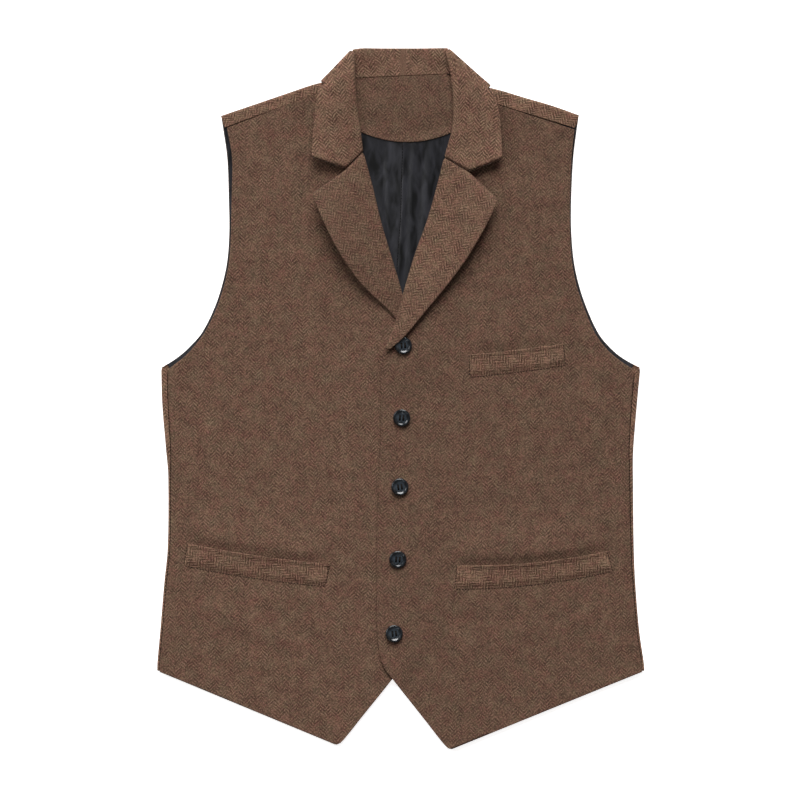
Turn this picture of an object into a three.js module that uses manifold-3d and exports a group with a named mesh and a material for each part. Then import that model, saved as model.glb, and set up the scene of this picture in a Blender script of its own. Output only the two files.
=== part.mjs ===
// Suit waistcoat laid flat on its back: notched collar, turned-back lapels, three welt pockets and
// five buttons. Millimetres. +Z is up, +Y runs to the neck and +X to the right of someone looking down
// at it. Z = 0 is the surface that it lies on, below the middle of its outline.

import * as THREE from 'three';
import { mergeVertices } from 'three/addons/utils/BufferGeometryUtils.js';
import Module from 'manifold-3d';

const wasm = await Module();
wasm.setup();

// Cloth walls, with what is sewn inside each one counted in
const backWall = 1.6;
const liningWall = 1.0;
const facingWall = 1.2;
const frontWall = 2.2;
const collarWall = 2.0;
const weltWall = 1.6;
const seamGap = 0.3;
const foldSeamGap = 0.5;

// Heights between the middles of walls that lie on each other
const liningOverBack = 1.6;
const facingOverBack = 1.7;
const frontOverBack = 3.8;
const rightOverLeft = 2.7;

// Turned folds: radius to the middle of the wall
const sideFold = 2.4;
const shoulderFold = frontOverBack / 2;
const standFold = 1.6;
const sideRiseWidth = 32;

// The collar's fall lies under the back of the neck and lifts it
const fallLift = 2.5;
const fallLiftLength = 56;
const collarTopY = 350.5;
const fallEdgeY = 304;
const fallEdgeEnds = { left: { x: 78, rise: 9.5 }, right: { x: 88, rise: 5 } };
const collarAxisZ = 5.5;

const hemCornerY = -273.5;
const backHemY = -272.5;
const liningHemY = -258;
const underarmY = 27;
const liningSideInset = 8;

// Side folds from the hem to the underarm: how far out they lie, and how far in from them the side seam runs
const sides = [
  { y: -274, left: 244.0, right: 243.8, seamLeft: 2.4, seamRight: 2.4 },
  { y: -264, left: 243.8, right: 243.0, seamLeft: 2.4, seamRight: 2.4 },
  { y: -233, left: 241.0, right: 238.5, seamLeft: 2.4, seamRight: 2.4 },
  { y: -185, left: 237.0, right: 234.5, seamLeft: 2.4, seamRight: 2.4 },
  { y: -149, left: 233.5, right: 233.0, seamLeft: 2.4, seamRight: 2.8 },
  { y: -77, left: 233.0, right: 232.2, seamLeft: 2.6, seamRight: 3.4 },
  { y: -53, left: 235.0, right: 232.4, seamLeft: 4.6, seamRight: 4.2 },
  { y: -5, left: 239.0, right: 236.2, seamLeft: 6.0, seamRight: 5.4 },
  { y: 30, left: 240.0, right: 239.5, seamLeft: 6.5, seamRight: 5.6 },
];

// Armholes: how far out the back's edge lies, and how far in from it the front's edge lies
const armholes = [
  { y: 30.5, left: 240.0, right: 239.0, insetLeft: 9.0, insetRight: 9.0 },
  { y: 42.5, left: 222.0, right: 219.0, insetLeft: 6.0, insetRight: 6.0 },
  { y: 54.5, left: 209.0, right: 206.0, insetLeft: 4.0, insetRight: 4.5 },
  { y: 66.5, left: 199.0, right: 197.0, insetLeft: 2.8, insetRight: 3.4 },
  { y: 90.5, left: 187.0, right: 186.0, insetLeft: 2.6, insetRight: 2.7 },
  { y: 114.5, left: 179.0, right: 178.0, insetLeft: 2.4, insetRight: 2.7 },
  { y: 138.5, left: 174.0, right: 173.0, insetLeft: 2.0, insetRight: 2.0 },
  { y: 168.5, left: 172.0, right: 170.5, insetLeft: 2.0, insetRight: 1.4 },
  { y: 200.0, left: 172.5, right: 170.5, insetLeft: 3.0, insetRight: 1.3 },
  { y: 240.5, left: 174.0, right: 172.5, insetLeft: 5.0, insetRight: 1.8 },
  { y: 271.0, left: 178.2, right: 176.2, insetLeft: 4.0, insetRight: 2.4 },
  { y: 281.0, left: 179.6, right: 177.6, insetLeft: 4.0, insetRight: 2.4 },
];

// Shoulder folds by distance from the middle, and the straight shoulder seams below them
const shoulders = [
  { x: 72, left: 316.9, right: 314.4 },
  { x: 80, left: 316.0, right: 312.8 },
  { x: 90, left: 313.4, right: 310.6 },
  { x: 102, left: 309.4, right: 307.6 },
  { x: 123, left: 302.3, right: 301.2 },
  { x: 150, left: 292.9, right: 293.2 },
  { x: 180, left: 282.5, right: 282.4 },
];
const shoulderSeams = {
  left: { x: 85.5, y: 304.9, slope: 0.383 },
  right: { x: 97.8, y: 293.5, slope: 0.32 },
};
const shoulderSlope = Math.atan(0.35);
const shoulderStartX = 76;
const shoulderTipX = { left: 179.4, right: 177.4 };

// Front edges from the hem's point to the foot of the lapel, with the height on the side that each row runs to
const frontEdges = {
  left: [
    { sideY: -273.5, x: -66.0, y: -346.2 },
    { sideY: -268.0, x: -59.0, y: -343.2 },
    { sideY: -244.0, x: -36.0, y: -314.8 },
    { sideY: -222.0, x: -8.5, y: -280.5 },
    { sideY: -204.0, x: 6.0, y: -260.0 },
    { sideY: -184.0, x: 14.0, y: -228.0 },
    { sideY: -148.0, x: 16.5, y: -165.0 },
    { sideY: -92.0, x: 18.0, y: -95.0 },
    { sideY: -34.0, x: 19.5, y: -30.0 },
    { sideY: 14.0, x: 20.0, y: 20.0 },
    { sideY: 27.0, x: 18.0, y: 38.0 },
  ],
  right: [
    { sideY: -273.5, x: 53.0, y: -350.0 },
    { sideY: -268.0, x: 45.5, y: -348.6 },
    { sideY: -246.0, x: 22.6, y: -320.1 },
    { sideY: -222.0, x: -8.5, y: -280.5 },
    { sideY: -206.0, x: -18.0, y: -266.5 },
    { sideY: -188.0, x: -22.9, y: -244.5 },
    { sideY: -160.0, x: -24.0, y: -205.0 },
    { sideY: -120.0, x: -24.0, y: -140.0 },
    { sideY: -72.0, x: -22.0, y: -81.5 },
    { sideY: -26.0, x: -20.2, y: -30.0 },
    { sideY: 12.0, x: -20.0, y: 20.0 },
    { sideY: 27.0, x: -18.6, y: 40.0 },
  ],
};

// Lapels from the gorge to the break. x counts outward on the lapel's own side. The roll is the folded
// inner edge, the bend is the notch's corner, the seam is how far in from the roll the front begins,
// half is half the fold's height, and bow and edge are how the leaf arches and how high its edge stands.
const lapels = {
  left: [
    { rollX: 37.8, rollY: 246.6, bendX: 55.3, bendY: 228.5, edgeX: 89.3, edgeY: 204.2, seam: 9, half: 1.7, bow: 0.5, edge: 13.0 },
    { rollX: 29.0, rollY: 214.5, edgeX: 76.0, edgeY: 173.5, seam: 9, half: 1.8, bow: 0.9, edge: 13.0 },
    { rollX: 20.2, rollY: 178.0, edgeX: 60.2, edgeY: 143.0, seam: 9, half: 1.8, bow: 0.8, edge: 11.0 },
    { rollX: 10.4, rollY: 144.5, edgeX: 37.8, edgeY: 112.2, seam: 9, half: 1.7, bow: 0.5, edge: 5.8 },
    { rollX: 0.0, rollY: 108.5, edgeX: 8.0, edgeY: 83.0, seam: 8, half: 1.4, bow: 0.2, edge: 2.5 },
    { rollX: -13.0, rollY: 55.0, edgeX: -9.0, edgeY: 53.0, seam: 5, half: 1.25, bow: 0, edge: 2.5 },
  ],
  right: [
    { rollX: 43.0, rollY: 240.9, bendX: 68.7, bendY: 225.5, edgeX: 97.0, edgeY: 198.5, seam: 9, half: 1.7, bow: 0.5, edge: 12.0 },
    { rollX: 35.7, rollY: 212.0, edgeX: 85.6, edgeY: 173.5, seam: 9, half: 1.9, bow: 1.0, edge: 12.0 },
    { rollX: 26.5, rollY: 179.5, edgeX: 65.0, edgeY: 138.5, seam: 9, half: 1.9, bow: 1.0, edge: 11.0 },
    { rollX: 13.2, rollY: 142.5, edgeX: 46.5, edgeY: 113.5, seam: 9, half: 1.9, bow: 0.8, edge: 9.0 },
    { rollX: 0.4, rollY: 99.5, edgeX: 24.0, edgeY: 86.2, seam: 8.5, half: 2.2, bow: 0.3, edge: 6.6 },
    { rollX: -7.4, rollY: 71.5, edgeX: 4.7, edgeY: 63.0, seam: 7, half: 2.7, bow: 0, edge: 5.5 },
    { rollX: -16.4, rollY: 49.5, edgeX: -11.6, edgeY: 48.4, seam: 4.4, half: 2.7, bow: 0, edge: 5.5 },
  ],
};

// Collar from the gorge up to where it turns under the back. The stand runs in under the leaf to the neck seam.
const collars = {
  left: [
    { rollX: 37.8, rollY: 247.0, bendX: 55.3, bendY: 228.9, edgeX: 89.0, edgeY: 240.5, stand: 6.5, half: 1.7, bow: 0.5, edge: 12.5 },
    { rollX: 40.2, rollY: 267.5, edgeX: 88.4, edgeY: 260.0, stand: 10, half: 1.65, bow: 0.7, edge: 8.8 },
    { rollX: 42.8, rollY: 286.5, edgeX: 87.0, edgeY: 278.0, stand: 13, half: 1.6, bow: 0.6, edge: 7.6 },
    { rollX: 44.6, rollY: 306.0, edgeX: 85.2, edgeY: 294.0, stand: 14, half: 1.5, bow: 0.4, edge: 6.4 },
    { rollX: 45.6, rollY: 326.0, edgeX: 82.4, edgeY: 306.6, stand: 15, half: 1.45, bow: 0.2, edge: 4.8 },
  ],
  right: [
    { rollX: 43.0, rollY: 241.3, bendX: 68.7, bendY: 225.9, edgeX: 101.0, edgeY: 239.5, stand: 6.5, half: 1.7, bow: 0.5, edge: 12.0 },
    { rollX: 50.0, rollY: 265.8, edgeX: 100.6, edgeY: 257.0, stand: 9, half: 1.65, bow: 0.7, edge: 8.8 },
    { rollX: 51.8, rollY: 283.0, edgeX: 99.6, edgeY: 273.5, stand: 11, half: 1.6, bow: 0.6, edge: 7.6 },
    { rollX: 51.6, rollY: 303.0, edgeX: 97.2, edgeY: 290.0, stand: 12, half: 1.5, bow: 0.4, edge: 6.4 },
    { rollX: 49.2, rollY: 326.0, edgeX: 93.2, edgeY: 303.6, stand: 13, half: 1.45, bow: 0.2, edge: 4.8 },
  ],
};
const collarCorners = {
  left: { x: 49, y: 350.5, edgeX: 80.5, edgeY: 317.5 },
  right: { x: 48, y: 350.5, edgeX: 90, edgeY: 313 },
};
const collarHalf = 1.45;
const standAtFold = 24;
const turnSteps = 6;
const backStations = 5;
const backStationReach = 37;

// The neck seam across the back, and the lower edge of the neck facing
const neckSeamY = 322.3;
const neckSeamTilt = 0.046;
const neckPieceReach = 46;
const facingReach = 62;
const facingEndDrop = 12;
const facingEdgeMiddle = { x: 6, y: 256.3 };
const facingEdgeCurve = 0.0048;

// The pressed pleat down the middle of the back lining
const pleat = [
  { y: -260, x: -4 },
  { y: 118, x: -4 },
  { y: 185, x: 0 },
  { y: 257, x: 2 },
];
const pleatHeight = 1.0;
const pleatWidth = 9;
const pleatFoot = { y: 106, length: 30 };

// Where the right front lifts over the left one and over the left lapel's foot
const underEdge = [
  { y: -346, x: -40 },
  { y: -280, x: -8 },
  { y: -228, x: 16 },
  { y: -95, x: 20 },
  { y: 40, x: 22 },
  { y: 110, x: 8 },
  { y: 150, x: -8 },
];
const overlapRamp = 30;
const lapelCross = { x: 0, lowY: 52, highY: 104, lift: 2.1, full: 18, reach: 62 };

// Soft swells of the fronts: middle, half length along the cloth, half width across it, turn and rise
const swells = [
  { x: -98, y: -30, long: 105, wide: 7, turn: 0, rise: 0.7 },
  { x: 111, y: -70, long: 100, wide: 8, turn: 0, rise: 0.7 },
  { x: 52, y: -60, long: 60, wide: 10, turn: 4, rise: 0.9 },
  { x: -190, y: -20, long: 70, wide: 14, turn: -14, rise: 1.0 },
  { x: 196, y: -10, long: 70, wide: 13, turn: 16, rise: 1.0 },
  { x: -120, y: 190, long: 80, wide: 18, turn: 6, rise: 0.8 },
  { x: 128, y: 185, long: 80, wide: 18, turn: -6, rise: 0.8 },
  { x: -150, y: -230, long: 70, wide: 16, turn: -70, rise: 0.9 },
  { x: 150, y: -232, long: 70, wide: 16, turn: 70, rise: 0.9 },
];

// Welts: their four corners, how far the upper edge sags, and how far it stands off the front at the mouth
const welts = [
  { name: 'welt_chest', side: 'right', leftX: 68.5, leftTopY: 44.0, rightX: 162.2, rightTopY: 54.8, leftFootX: 69.0, leftFootY: 21.6, rightFootX: 164.0, rightFootY: 33.2, sag: 0.8, mouth: 0.6 },
  { name: 'welt_left', side: 'left', leftX: -213.0, leftTopY: -144.9, rightX: -71.0, rightTopY: -165.3, leftFootX: -217.0, leftFootY: -167.0, rightFootX: -76.0, rightFootY: -187.7, sag: 2.2, mouth: 0.8 },
  { name: 'welt_right', side: 'right', leftX: 56.0, leftTopY: -166.5, rightX: 205.7, rightTopY: -152.7, leftFootX: 54.0, leftFootY: -190.5, rightFootX: 211.3, rightFootY: -172.5, sag: 4.6, mouth: 0.8 },
];

// Buttons, top to bottom
const buttonPlaces = [
  { x: 2.2, y: 52.8 },
  { x: 0.8, y: -19.3 },
  { x: -1.1, y: -88.5 },
  { x: -3.2, y: -160.8 },
  { x: -6.9, y: -235.1 },
];
const buttonRadius = 9;
const buttonHole = { radius: 0.95, acrossX: 1.75, acrossY: 1.55 };
const buttonProfile = [
  { radius: 0, z: 0 },
  { radius: 7.8, z: 0 },
  { radius: 8.8, z: 0.7 },
  { radius: buttonRadius, z: 1.5 },
  { radius: 8.6, z: 2.4 },
  { radius: 7.8, z: 2.7 },
  { radius: 6.6, z: 2.4 },
  { radius: 5.4, z: 1.8 },
  { radius: 0, z: 1.8 },
];

const clamp = THREE.MathUtils.clamp;
const lerp = THREE.MathUtils.lerp;
const outward = { left: -1, right: 1 };

function smooth(t) {
  const s = clamp(t, 0, 1);
  return s * s * (3 - 2 * s);
}

// A smooth curve through one column of a table, read along another column, or along the row's number
function reader(rows, column, along) {
  const last = rows.length - 1;
  const key = (k) => (along ? rows[k][along] : k);
  const slope = (k) => {
    const before = Math.max(k - 1, 0);
    const after = Math.min(k + 1, last);
    return (rows[after][column] - rows[before][column]) / (key(after) - key(before));
  };
  return (at) => {
    const place = clamp(at, key(0), key(last));
    let k = 0;
    while (k < last - 1 && place > key(k + 1)) k += 1;
    const span = key(k + 1) - key(k);
    const t = (place - key(k)) / span;
    const a = rows[k][column];
    const b = rows[k + 1][column];
    const bend = (slope(k) * (1 - t) - slope(k + 1) * t) * span * t * (1 - t);
    return a + (b - a) * t * t * (3 - 2 * t) + bend;
  };
}

const side = { left: {}, right: {} };
for (const name of ['left', 'right']) {
  const seam = name === 'left' ? 'seamLeft' : 'seamRight';
  const inset = name === 'left' ? 'insetLeft' : 'insetRight';
  side[name].fold = reader(sides, name, 'y');
  side[name].seam = reader(sides, seam, 'y');
  side[name].armhole = reader(armholes, name, 'y');
  side[name].inset = reader(armholes, inset, 'y');
  side[name].shoulder = reader(shoulders, name, 'x');
  side[name].shoulderSeam = (x) => {
    const line = shoulderSeams[name];
    return side[name].shoulder(x) - line.y + line.slope * (x - line.x);
  };
}
const underEdgeX = reader(underEdge, 'x', 'y');
const pleatX = reader(pleat, 'x', 'y');
const sideOf = (x) => (x < 0 ? 'left' : 'right');

function fallEdge(x) {
  const end = fallEdgeEnds[sideOf(x)];
  return fallEdgeY + end.rise * (x / end.x) ** 2;
}

// Height of the middle of the back's wall where it lies on the surface or on the collar's fall
function backHeight(x, y) {
  const lift = smooth((y - fallEdge(x) + fallLiftLength) / fallLiftLength);
  return backWall / 2 + fallLift * lift;
}

function swellHeight(x, y) {
  let height = 0;
  for (const swell of swells) {
    const turn = THREE.MathUtils.degToRad(swell.turn);
    const dx = x - swell.x;
    const dy = y - swell.y;
    const across = (dx * Math.cos(turn) - dy * Math.sin(turn)) / swell.wide;
    const along = (dx * Math.sin(turn) + dy * Math.cos(turn)) / swell.long;
    height += swell.rise * Math.exp(-across * across - along * along);
  }
  return height;
}

// Height of the middle of a front's wall
function frontHeight(name, x, y) {
  const out = Math.abs(x);
  const fold = side[name].fold(Math.min(y, underarmY));
  const axis = fold - backWall / 2 - sideFold;
  const foldTop = 2 * sideFold - frontOverBack;
  let height = backHeight(x, y) + frontOverBack;
  height += foldTop * smooth(1 - (axis - out) / sideRiseWidth);
  if (out > axis) height -= sideFold - Math.sqrt(Math.max(sideFold ** 2 - (out - axis) ** 2, 0));
  height += swellHeight(x, y) * smooth((axis - out) / sideRiseWidth);
  if (name === 'right') {
    height += rightOverLeft * smooth(1 - (x - underEdgeX(y) - 4) / overlapRamp);
    const crossY = clamp(y, lapelCross.lowY, lapelCross.highY);
    const away = Math.hypot(x - lapelCross.x, y - crossY);
    height += lapelCross.lift * smooth(1 - (away - lapelCross.full) / (lapelCross.reach - lapelCross.full));
  }
  return height;
}

// A closed wall of one thickness about a grid of points on its middle surface
function wall(grid, thickness) {
  const columns = grid.length;
  const rows = grid[0].length;
  const positions = [];
  const normalAt = (i, j) => {
    const along = grid[Math.min(i + 1, columns - 1)][j].clone().sub(grid[Math.max(i - 1, 0)][j]);
    const across = grid[i][Math.min(j + 1, rows - 1)].clone().sub(grid[i][Math.max(j - 1, 0)]);
    return along.cross(across).normalize();
  };
  for (const level of [0.5, -0.5]) {
    for (let i = 0; i < columns; i += 1) {
      for (let j = 0; j < rows; j += 1) {
        const point = grid[i][j].clone().addScaledVector(normalAt(i, j), level * thickness);
        positions.push(point.x, point.y, point.z);
      }
    }
  }
  const at = (level, i, j) => level * columns * rows + i * rows + j;
  const faces = [];
  const quad = (a, b, c, d) => faces.push(a, b, c, a, c, d);
  for (let i = 0; i < columns - 1; i += 1) {
    for (let j = 0; j < rows - 1; j += 1) {
      quad(at(0, i, j), at(0, i + 1, j), at(0, i + 1, j + 1), at(0, i, j + 1));
      quad(at(1, i, j), at(1, i, j + 1), at(1, i + 1, j + 1), at(1, i + 1, j));
    }
  }
  for (let i = 0; i < columns - 1; i += 1) {
    quad(at(0, i, 0), at(1, i, 0), at(1, i + 1, 0), at(0, i + 1, 0));
    quad(at(0, i, rows - 1), at(0, i + 1, rows - 1), at(1, i + 1, rows - 1), at(1, i, rows - 1));
  }
  for (let j = 0; j < rows - 1; j += 1) {
    quad(at(0, 0, j), at(0, 0, j + 1), at(1, 0, j + 1), at(1, 0, j));
    quad(at(0, columns - 1, j), at(1, columns - 1, j), at(1, columns - 1, j + 1), at(0, columns - 1, j + 1));
  }
  const geometry = new THREE.BufferGeometry();
  geometry.setAttribute('position', new THREE.Float32BufferAttribute(positions, 3));
  geometry.setIndex(faces);
  return geometry;
}

// Turns a grid over, for one that runs round the other way
const turned = (grid) => [...grid].reverse();

// Numbers from a to b in equal steps, both ends included
function steps(a, b, count) {
  return Array.from({ length: count + 1 }, (_, k) => lerp(a, b, k / count));
}

// The back: laid out flat with its turned-up edges unfolded, then bent round the side and shoulder folds

// How far out the unfolded back reaches at the side, and where its fold begins
function sideOfBack(name, y) {
  const fold = side[name].fold(y);
  const seam = side[name].seam(y) - foldSeamGap / 2;
  const axis = fold - backWall / 2 - sideFold;
  const seamX = fold - seam;
  const flat = Math.max(axis - seamX, 0);
  const angle = seamX > axis ? Math.PI - Math.asin((seamX - axis) / sideFold) : Math.PI;
  return { axis, reach: axis + sideFold * angle + flat };
}

function bendOver(distance, radius) {
  if (distance <= 0) return { along: distance, up: 0 };
  const angle = Math.min(distance / radius, Math.PI);
  const past = distance - radius * angle;
  return { along: radius * Math.sin(angle) - past, up: radius * (1 - Math.cos(angle)) };
}

// Places a point of the unfolded back. Its side is bent below the underarm and its shoulder above it.
function foldBack(name, out, y, part) {
  let x = out;
  let placeY = y;
  let up = 0;
  if (part.axis !== undefined) {
    const bend = bendOver(out - part.axis, sideFold);
    x = part.axis + bend.along;
    up = bend.up;
  }
  if (part.beyond !== undefined) {
    const start = -(backWall / 2 + shoulderFold);
    const bend = bendOver(part.beyond - start, shoulderFold);
    const shift = start + bend.along - part.beyond;
    x += Math.sin(shoulderSlope) * shift;
    placeY += Math.cos(shoulderSlope) * shift;
    up = bend.up;
  }
  const sx = outward[name] * x;
  return new THREE.Vector3(sx, placeY, backHeight(sx, placeY) + up);
}

function neckSeam(x) {
  return neckSeamY + neckSeamTilt * x;
}

// Upper edge of the pieces that meet the stand: along the neck seam, then down clear of the shoulder fold
function neckTop(x) {
  const past = Math.max(Math.abs(x) - neckPieceReach, 0) / (facingReach - neckPieceReach);
  return neckSeam(x) - seamGap / 2 - facingEndDrop * past;
}

const backSteps = { wrap: 8, edge: 7, body: 4, neck: 3 };

// Shares of the way from the underarm to the shoulder, close together where the armhole turns
const armholeShares = [0.006, 0.014, 0.026, 0.05, 0.09, 0.14, 0.21, 0.3, 0.4, 0.51, 0.62, 0.73, 0.82, 0.855, 0.89, 0.92, 0.95, 1];

function backHalf(name) {
  const sideYs = frontRows(name).map((row) => row.sideY).filter((y) => y > backHemY + 2 && y <= underarmY);
  const sideRows = [backHemY, ...sideYs].map((y) => ({ kind: 'side', y }));
  const tipY = side[name].shoulder(shoulderTipX[name]) - (backWall / 2 + shoulderFold);
  const armRows = armholeShares.map((t) => ({ kind: 'arm', t }));
  const wrapRows = steps(0, 1, backSteps.wrap).slice(1).map((t) => ({ kind: 'wrap', t }));
  const start = -(backWall / 2 + shoulderFold);
  const underarm = sideOfBack(name, underarmY);
  const columns = [];
  const edgeColumn = (share) => [...sideRows, ...armRows, ...wrapRows].map((row) => {
    const inward = share * (underarm.reach - underarm.axis);
    if (row.kind === 'side') {
      const { axis, reach } = sideOfBack(name, row.y);
      return foldBack(name, lerp(reach, axis, share), row.y, { axis });
    }
    if (row.kind === 'arm') return armholePoint(row.t, inward);
    return shoulderPoint(row.t, shoulderTipX[name] - inward);
  });
  const armholePoint = (t, inward) => {
    const y = lerp(underarmY, tipY, t);
    const near = smooth((y - underarmY) / 6);
    const out = lerp(underarm.reach, side[name].armhole(Math.max(y, 31)), near) - inward;
    return foldBack(name, out, y, { axis: underarm.axis });
  };
  const shoulderPoint = (t, x) => {
    const seam = side[name].shoulderSeam(x) * Math.cos(shoulderSlope) - seamGap / 2;
    const end = start + Math.PI * shoulderFold + seam - backWall / 2 - shoulderFold;
    const beyond = lerp(start, end, t);
    const flare = 0.36 * (beyond - start);
    const y = side[name].shoulder(x) + beyond / Math.cos(shoulderSlope);
    return foldBack(name, x + flare * smooth((x - 120) / 50), y, { beyond });
  };
  const startY = (x) => side[name].shoulder(x) + start / Math.cos(shoulderSlope);
  const bodyColumn = (x, lastX) => [...sideRows, ...armRows, ...wrapRows].map((row) => {
    if (row.kind === 'side') return foldBack(name, lastX, row.y, {});
    if (row.kind === 'arm') {
      return foldBack(name, lerp(lastX, x, smooth(row.t * 1.4)), lerp(underarmY, startY(x), row.t), {});
    }
    return shoulderPoint(row.t, x);
  });
  const neckColumn = (x) => [...sideRows, ...armRows, ...wrapRows].map((row) => {
    const top = neckTop(outward[name] * x);
    const low = lerp(top - 20, startY(shoulderStartX) - 3, clamp(x / shoulderStartX, 0, 1) ** 4);
    if (row.kind === 'side') return foldBack(name, x, row.y, {});
    if (row.kind === 'arm') return foldBack(name, x, lerp(underarmY, low, row.t), {});
    return foldBack(name, x, lerp(low, top, row.t), {});
  });
  for (const share of steps(0, 1, backSteps.edge)) columns.push(edgeColumn(share));
  const bodyWidth = underarm.axis - shoulderStartX;
  const edgeWidth = underarm.reach - underarm.axis;
  const shoulderWidth = shoulderTipX[name] - edgeWidth - shoulderStartX;
  for (const share of steps(0, 1, backSteps.body).slice(1)) {
    const place = 1 - share;
    columns.push(bodyColumn(shoulderStartX + shoulderWidth * place, shoulderStartX + bodyWidth * place));
  }
  for (const x of steps(facingReach, 0, backSteps.neck)) columns.push(neckColumn(x));
  return columns;
}

function back() {
  const left = backHalf('left');
  const right = backHalf('right');
  return wall([...left, ...turned(right).slice(1)], backWall);
}

// The back lining, in two halves that meet at the pressed pleat

function liningHeight(name, x, y) {
  const fade = smooth((y - pleatFoot.y) / pleatFoot.length);
  const rise = name === 'right' ? pleatHeight * smooth(1 - (x - pleatX(y)) / pleatWidth) * fade : 0;
  return backHeight(x, y) + liningOverBack + rise;
}

function facingEdge(x) {
  return facingEdgeMiddle.y + facingEdgeCurve * (x - facingEdgeMiddle.x) ** 2;
}

const liningSteps = { side: 5, body: 4, middle: 12 };
const liningEdgeInset = 0.4;
const liningCornerY = 38;
const liningTipY = 274;

function lining(name) {
  const sign = outward[name];
  const sideRows = steps(liningHemY, liningCornerY, liningSteps.side).map((y) => ({ y, t: 0 }));
  const armRows = armholeShares.slice(2).map((t) => ({ y: lerp(liningCornerY, liningTipY, t), t }));
  const grid = [];
  const add = (place) => grid.push([...sideRows, ...armRows].map(place));
  const point = (x, y) => new THREE.Vector3(x, y, liningHeight(name, x, y));
  const outer = (row) => {
    if (row.t === 0) {
      const limit = side[name].armhole(liningCornerY) - liningEdgeInset;
      return Math.min(side[name].fold(row.y) - liningSideInset, row.y === liningCornerY ? limit : Infinity);
    }
    return side[name].armhole(row.y) - liningEdgeInset;
  };
  const neckY = (row, x) => (row.t === 0 ? row.y : lerp(liningCornerY, facingEdge(x) - seamGap, row.t));
  for (const share of steps(0, 1, liningSteps.body)) {
    add((row) => {
      const x = sign * lerp(outer(row), facingReach, share);
      const y = lerp(row.y, neckY(row, sign * facingReach), share);
      return point(x, y);
    });
  }
  for (const share of steps(0, 1, liningSteps.middle).slice(1)) {
    add((row) => {
      const middle = pleatX(neckY(row, 0)) + sign * seamGap / 2;
      const x = lerp(sign * facingReach, middle, share);
      return point(x, neckY(row, x));
    });
  }
  return wall(name === 'left' ? grid : turned(grid), liningWall);
}

function neckFacing() {
  const grid = steps(-facingReach, facingReach, 12).map((x) => steps(0, 1, 7).map((t) => {
    const y = lerp(facingEdge(x), neckTop(x), t);
    return new THREE.Vector3(x, y, backHeight(x, y) + facingOverBack);
  }));
  return wall(grid, facingWall);
}

// Lapels and collar: each station runs from the seam under the leaf, round the roll, to the leaf's edge

function station(name, row, kind) {
  const sign = outward[name];
  const roll = new THREE.Vector2(sign * row.rollX, row.rollY);
  const edge = new THREE.Vector2(sign * row.edgeX, row.edgeY);
  const bend = row.bendX === undefined ? null : new THREE.Vector2(sign * row.bendX, row.bendY);
  const along = (bend ?? edge).clone().sub(roll).normalize();
  const inset = row.half + collarWall / 2;
  return {
    name, along, edge, bend,
    centre: roll.clone().addScaledVector(along, inset),
    under: (kind === 'lapel' ? row.seam : row.stand + inset) - inset,
    half: row.half, bow: row.bow, edgeRise: row.edge, angle: 0,
  };
}

// A table's rows with smooth ones between them
function denser(rows, count) {
  const keys = Object.keys(rows[1]);
  const read = Object.fromEntries(keys.map((key) => [key, reader(rows, key)]));
  return steps(0, rows.length - 1, count).map((at) => {
    const row = Object.fromEntries(keys.map((key) => [key, read[key](at)]));
    return at === 0 ? rows[0] : row;
  });
}

const hairpinSteps = 5;
const leafSteps = 3;
const underSteps = 2;

function stationPoints(s) {
  const outNormal = new THREE.Vector2(-s.along.y, s.along.x);
  if (outNormal.y < 0) outNormal.negate();
  const points = [];
  const place = (xy, radius) => {
    const x = xy.x + outNormal.x * Math.sin(s.angle) * radius;
    const y = xy.y + outNormal.y * Math.sin(s.angle) * radius;
    const base = s.angle === 0 ? frontHeight(s.name, x, y) - standFold : collarAxisZ;
    points.push(new THREE.Vector3(x, y, base + Math.cos(s.angle) * radius));
  };
  const spine = standFold + s.half;
  for (const t of steps(s.under, 0, underSteps)) {
    place(s.centre.clone().addScaledVector(s.along, t), standFold);
  }
  for (const angle of steps(-Math.PI / 2, Math.PI / 2, hairpinSteps).slice(1)) {
    const xy = s.centre.clone().addScaledVector(s.along, -s.half * Math.cos(angle));
    place(xy, spine + s.half * Math.sin(angle));
  }
  const middle = s.bend ?? s.centre.clone().lerp(s.edge, 0.42);
  const first = steps(0, 1, leafSteps).slice(1).map((t) => s.centre.clone().lerp(middle, t));
  const second = steps(0, 1, leafSteps).slice(1).map((t) => middle.clone().lerp(s.edge, t));
  const leaf = [...first, ...second];
  leaf.forEach((xy, k) => {
    const t = (k + 1) / leaf.length;
    const rise = lerp(2 * s.half, s.edgeRise, t) + 4 * s.bow * t * (1 - t);
    place(xy, standFold + rise);
  });
  return points;
}

const lapelSteps = 10;
const collarSteps = 8;

function lapelStations(name) {
  return denser(lapels[name], lapelSteps).map((row) => station(name, row, 'lapel'));
}

function collarStations(name) {
  return denser(collars[name], collarSteps).map((row) => station(name, row, 'collar'));
}

function lapel(name) {
  const grid = lapelStations(name).map(stationPoints);
  return wall(name === 'left' ? turned(grid) : grid, collarWall);
}

function cornerStations(name) {
  const sign = outward[name];
  const corner = collarCorners[name];
  const from = new THREE.Vector2(sign * corner.x, corner.y);
  const to = new THREE.Vector2(sign * corner.edgeX, corner.edgeY);
  const along = to.clone().sub(from);
  const length = along.length();
  along.normalize();
  const outNormal = new THREE.Vector2(-along.y, along.x);
  if (outNormal.y < 0) outNormal.negate();
  const half = collarHalf;
  const outer = standFold + 2 * half + collarWall / 2;
  const inset = half + collarWall / 2;
  const centre = from.clone().addScaledVector(outNormal, -outer).addScaledVector(along, inset);
  const edge = centre.clone().addScaledVector(along, length - inset);
  return steps(0, Math.PI, turnSteps).map((angle) => ({
    name, along, edge, bend: null, centre, under: standAtFold, half, bow: 0, edgeRise: 2 * half,
    angle: Math.max(angle, 1e-6),
  }));
}

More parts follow.
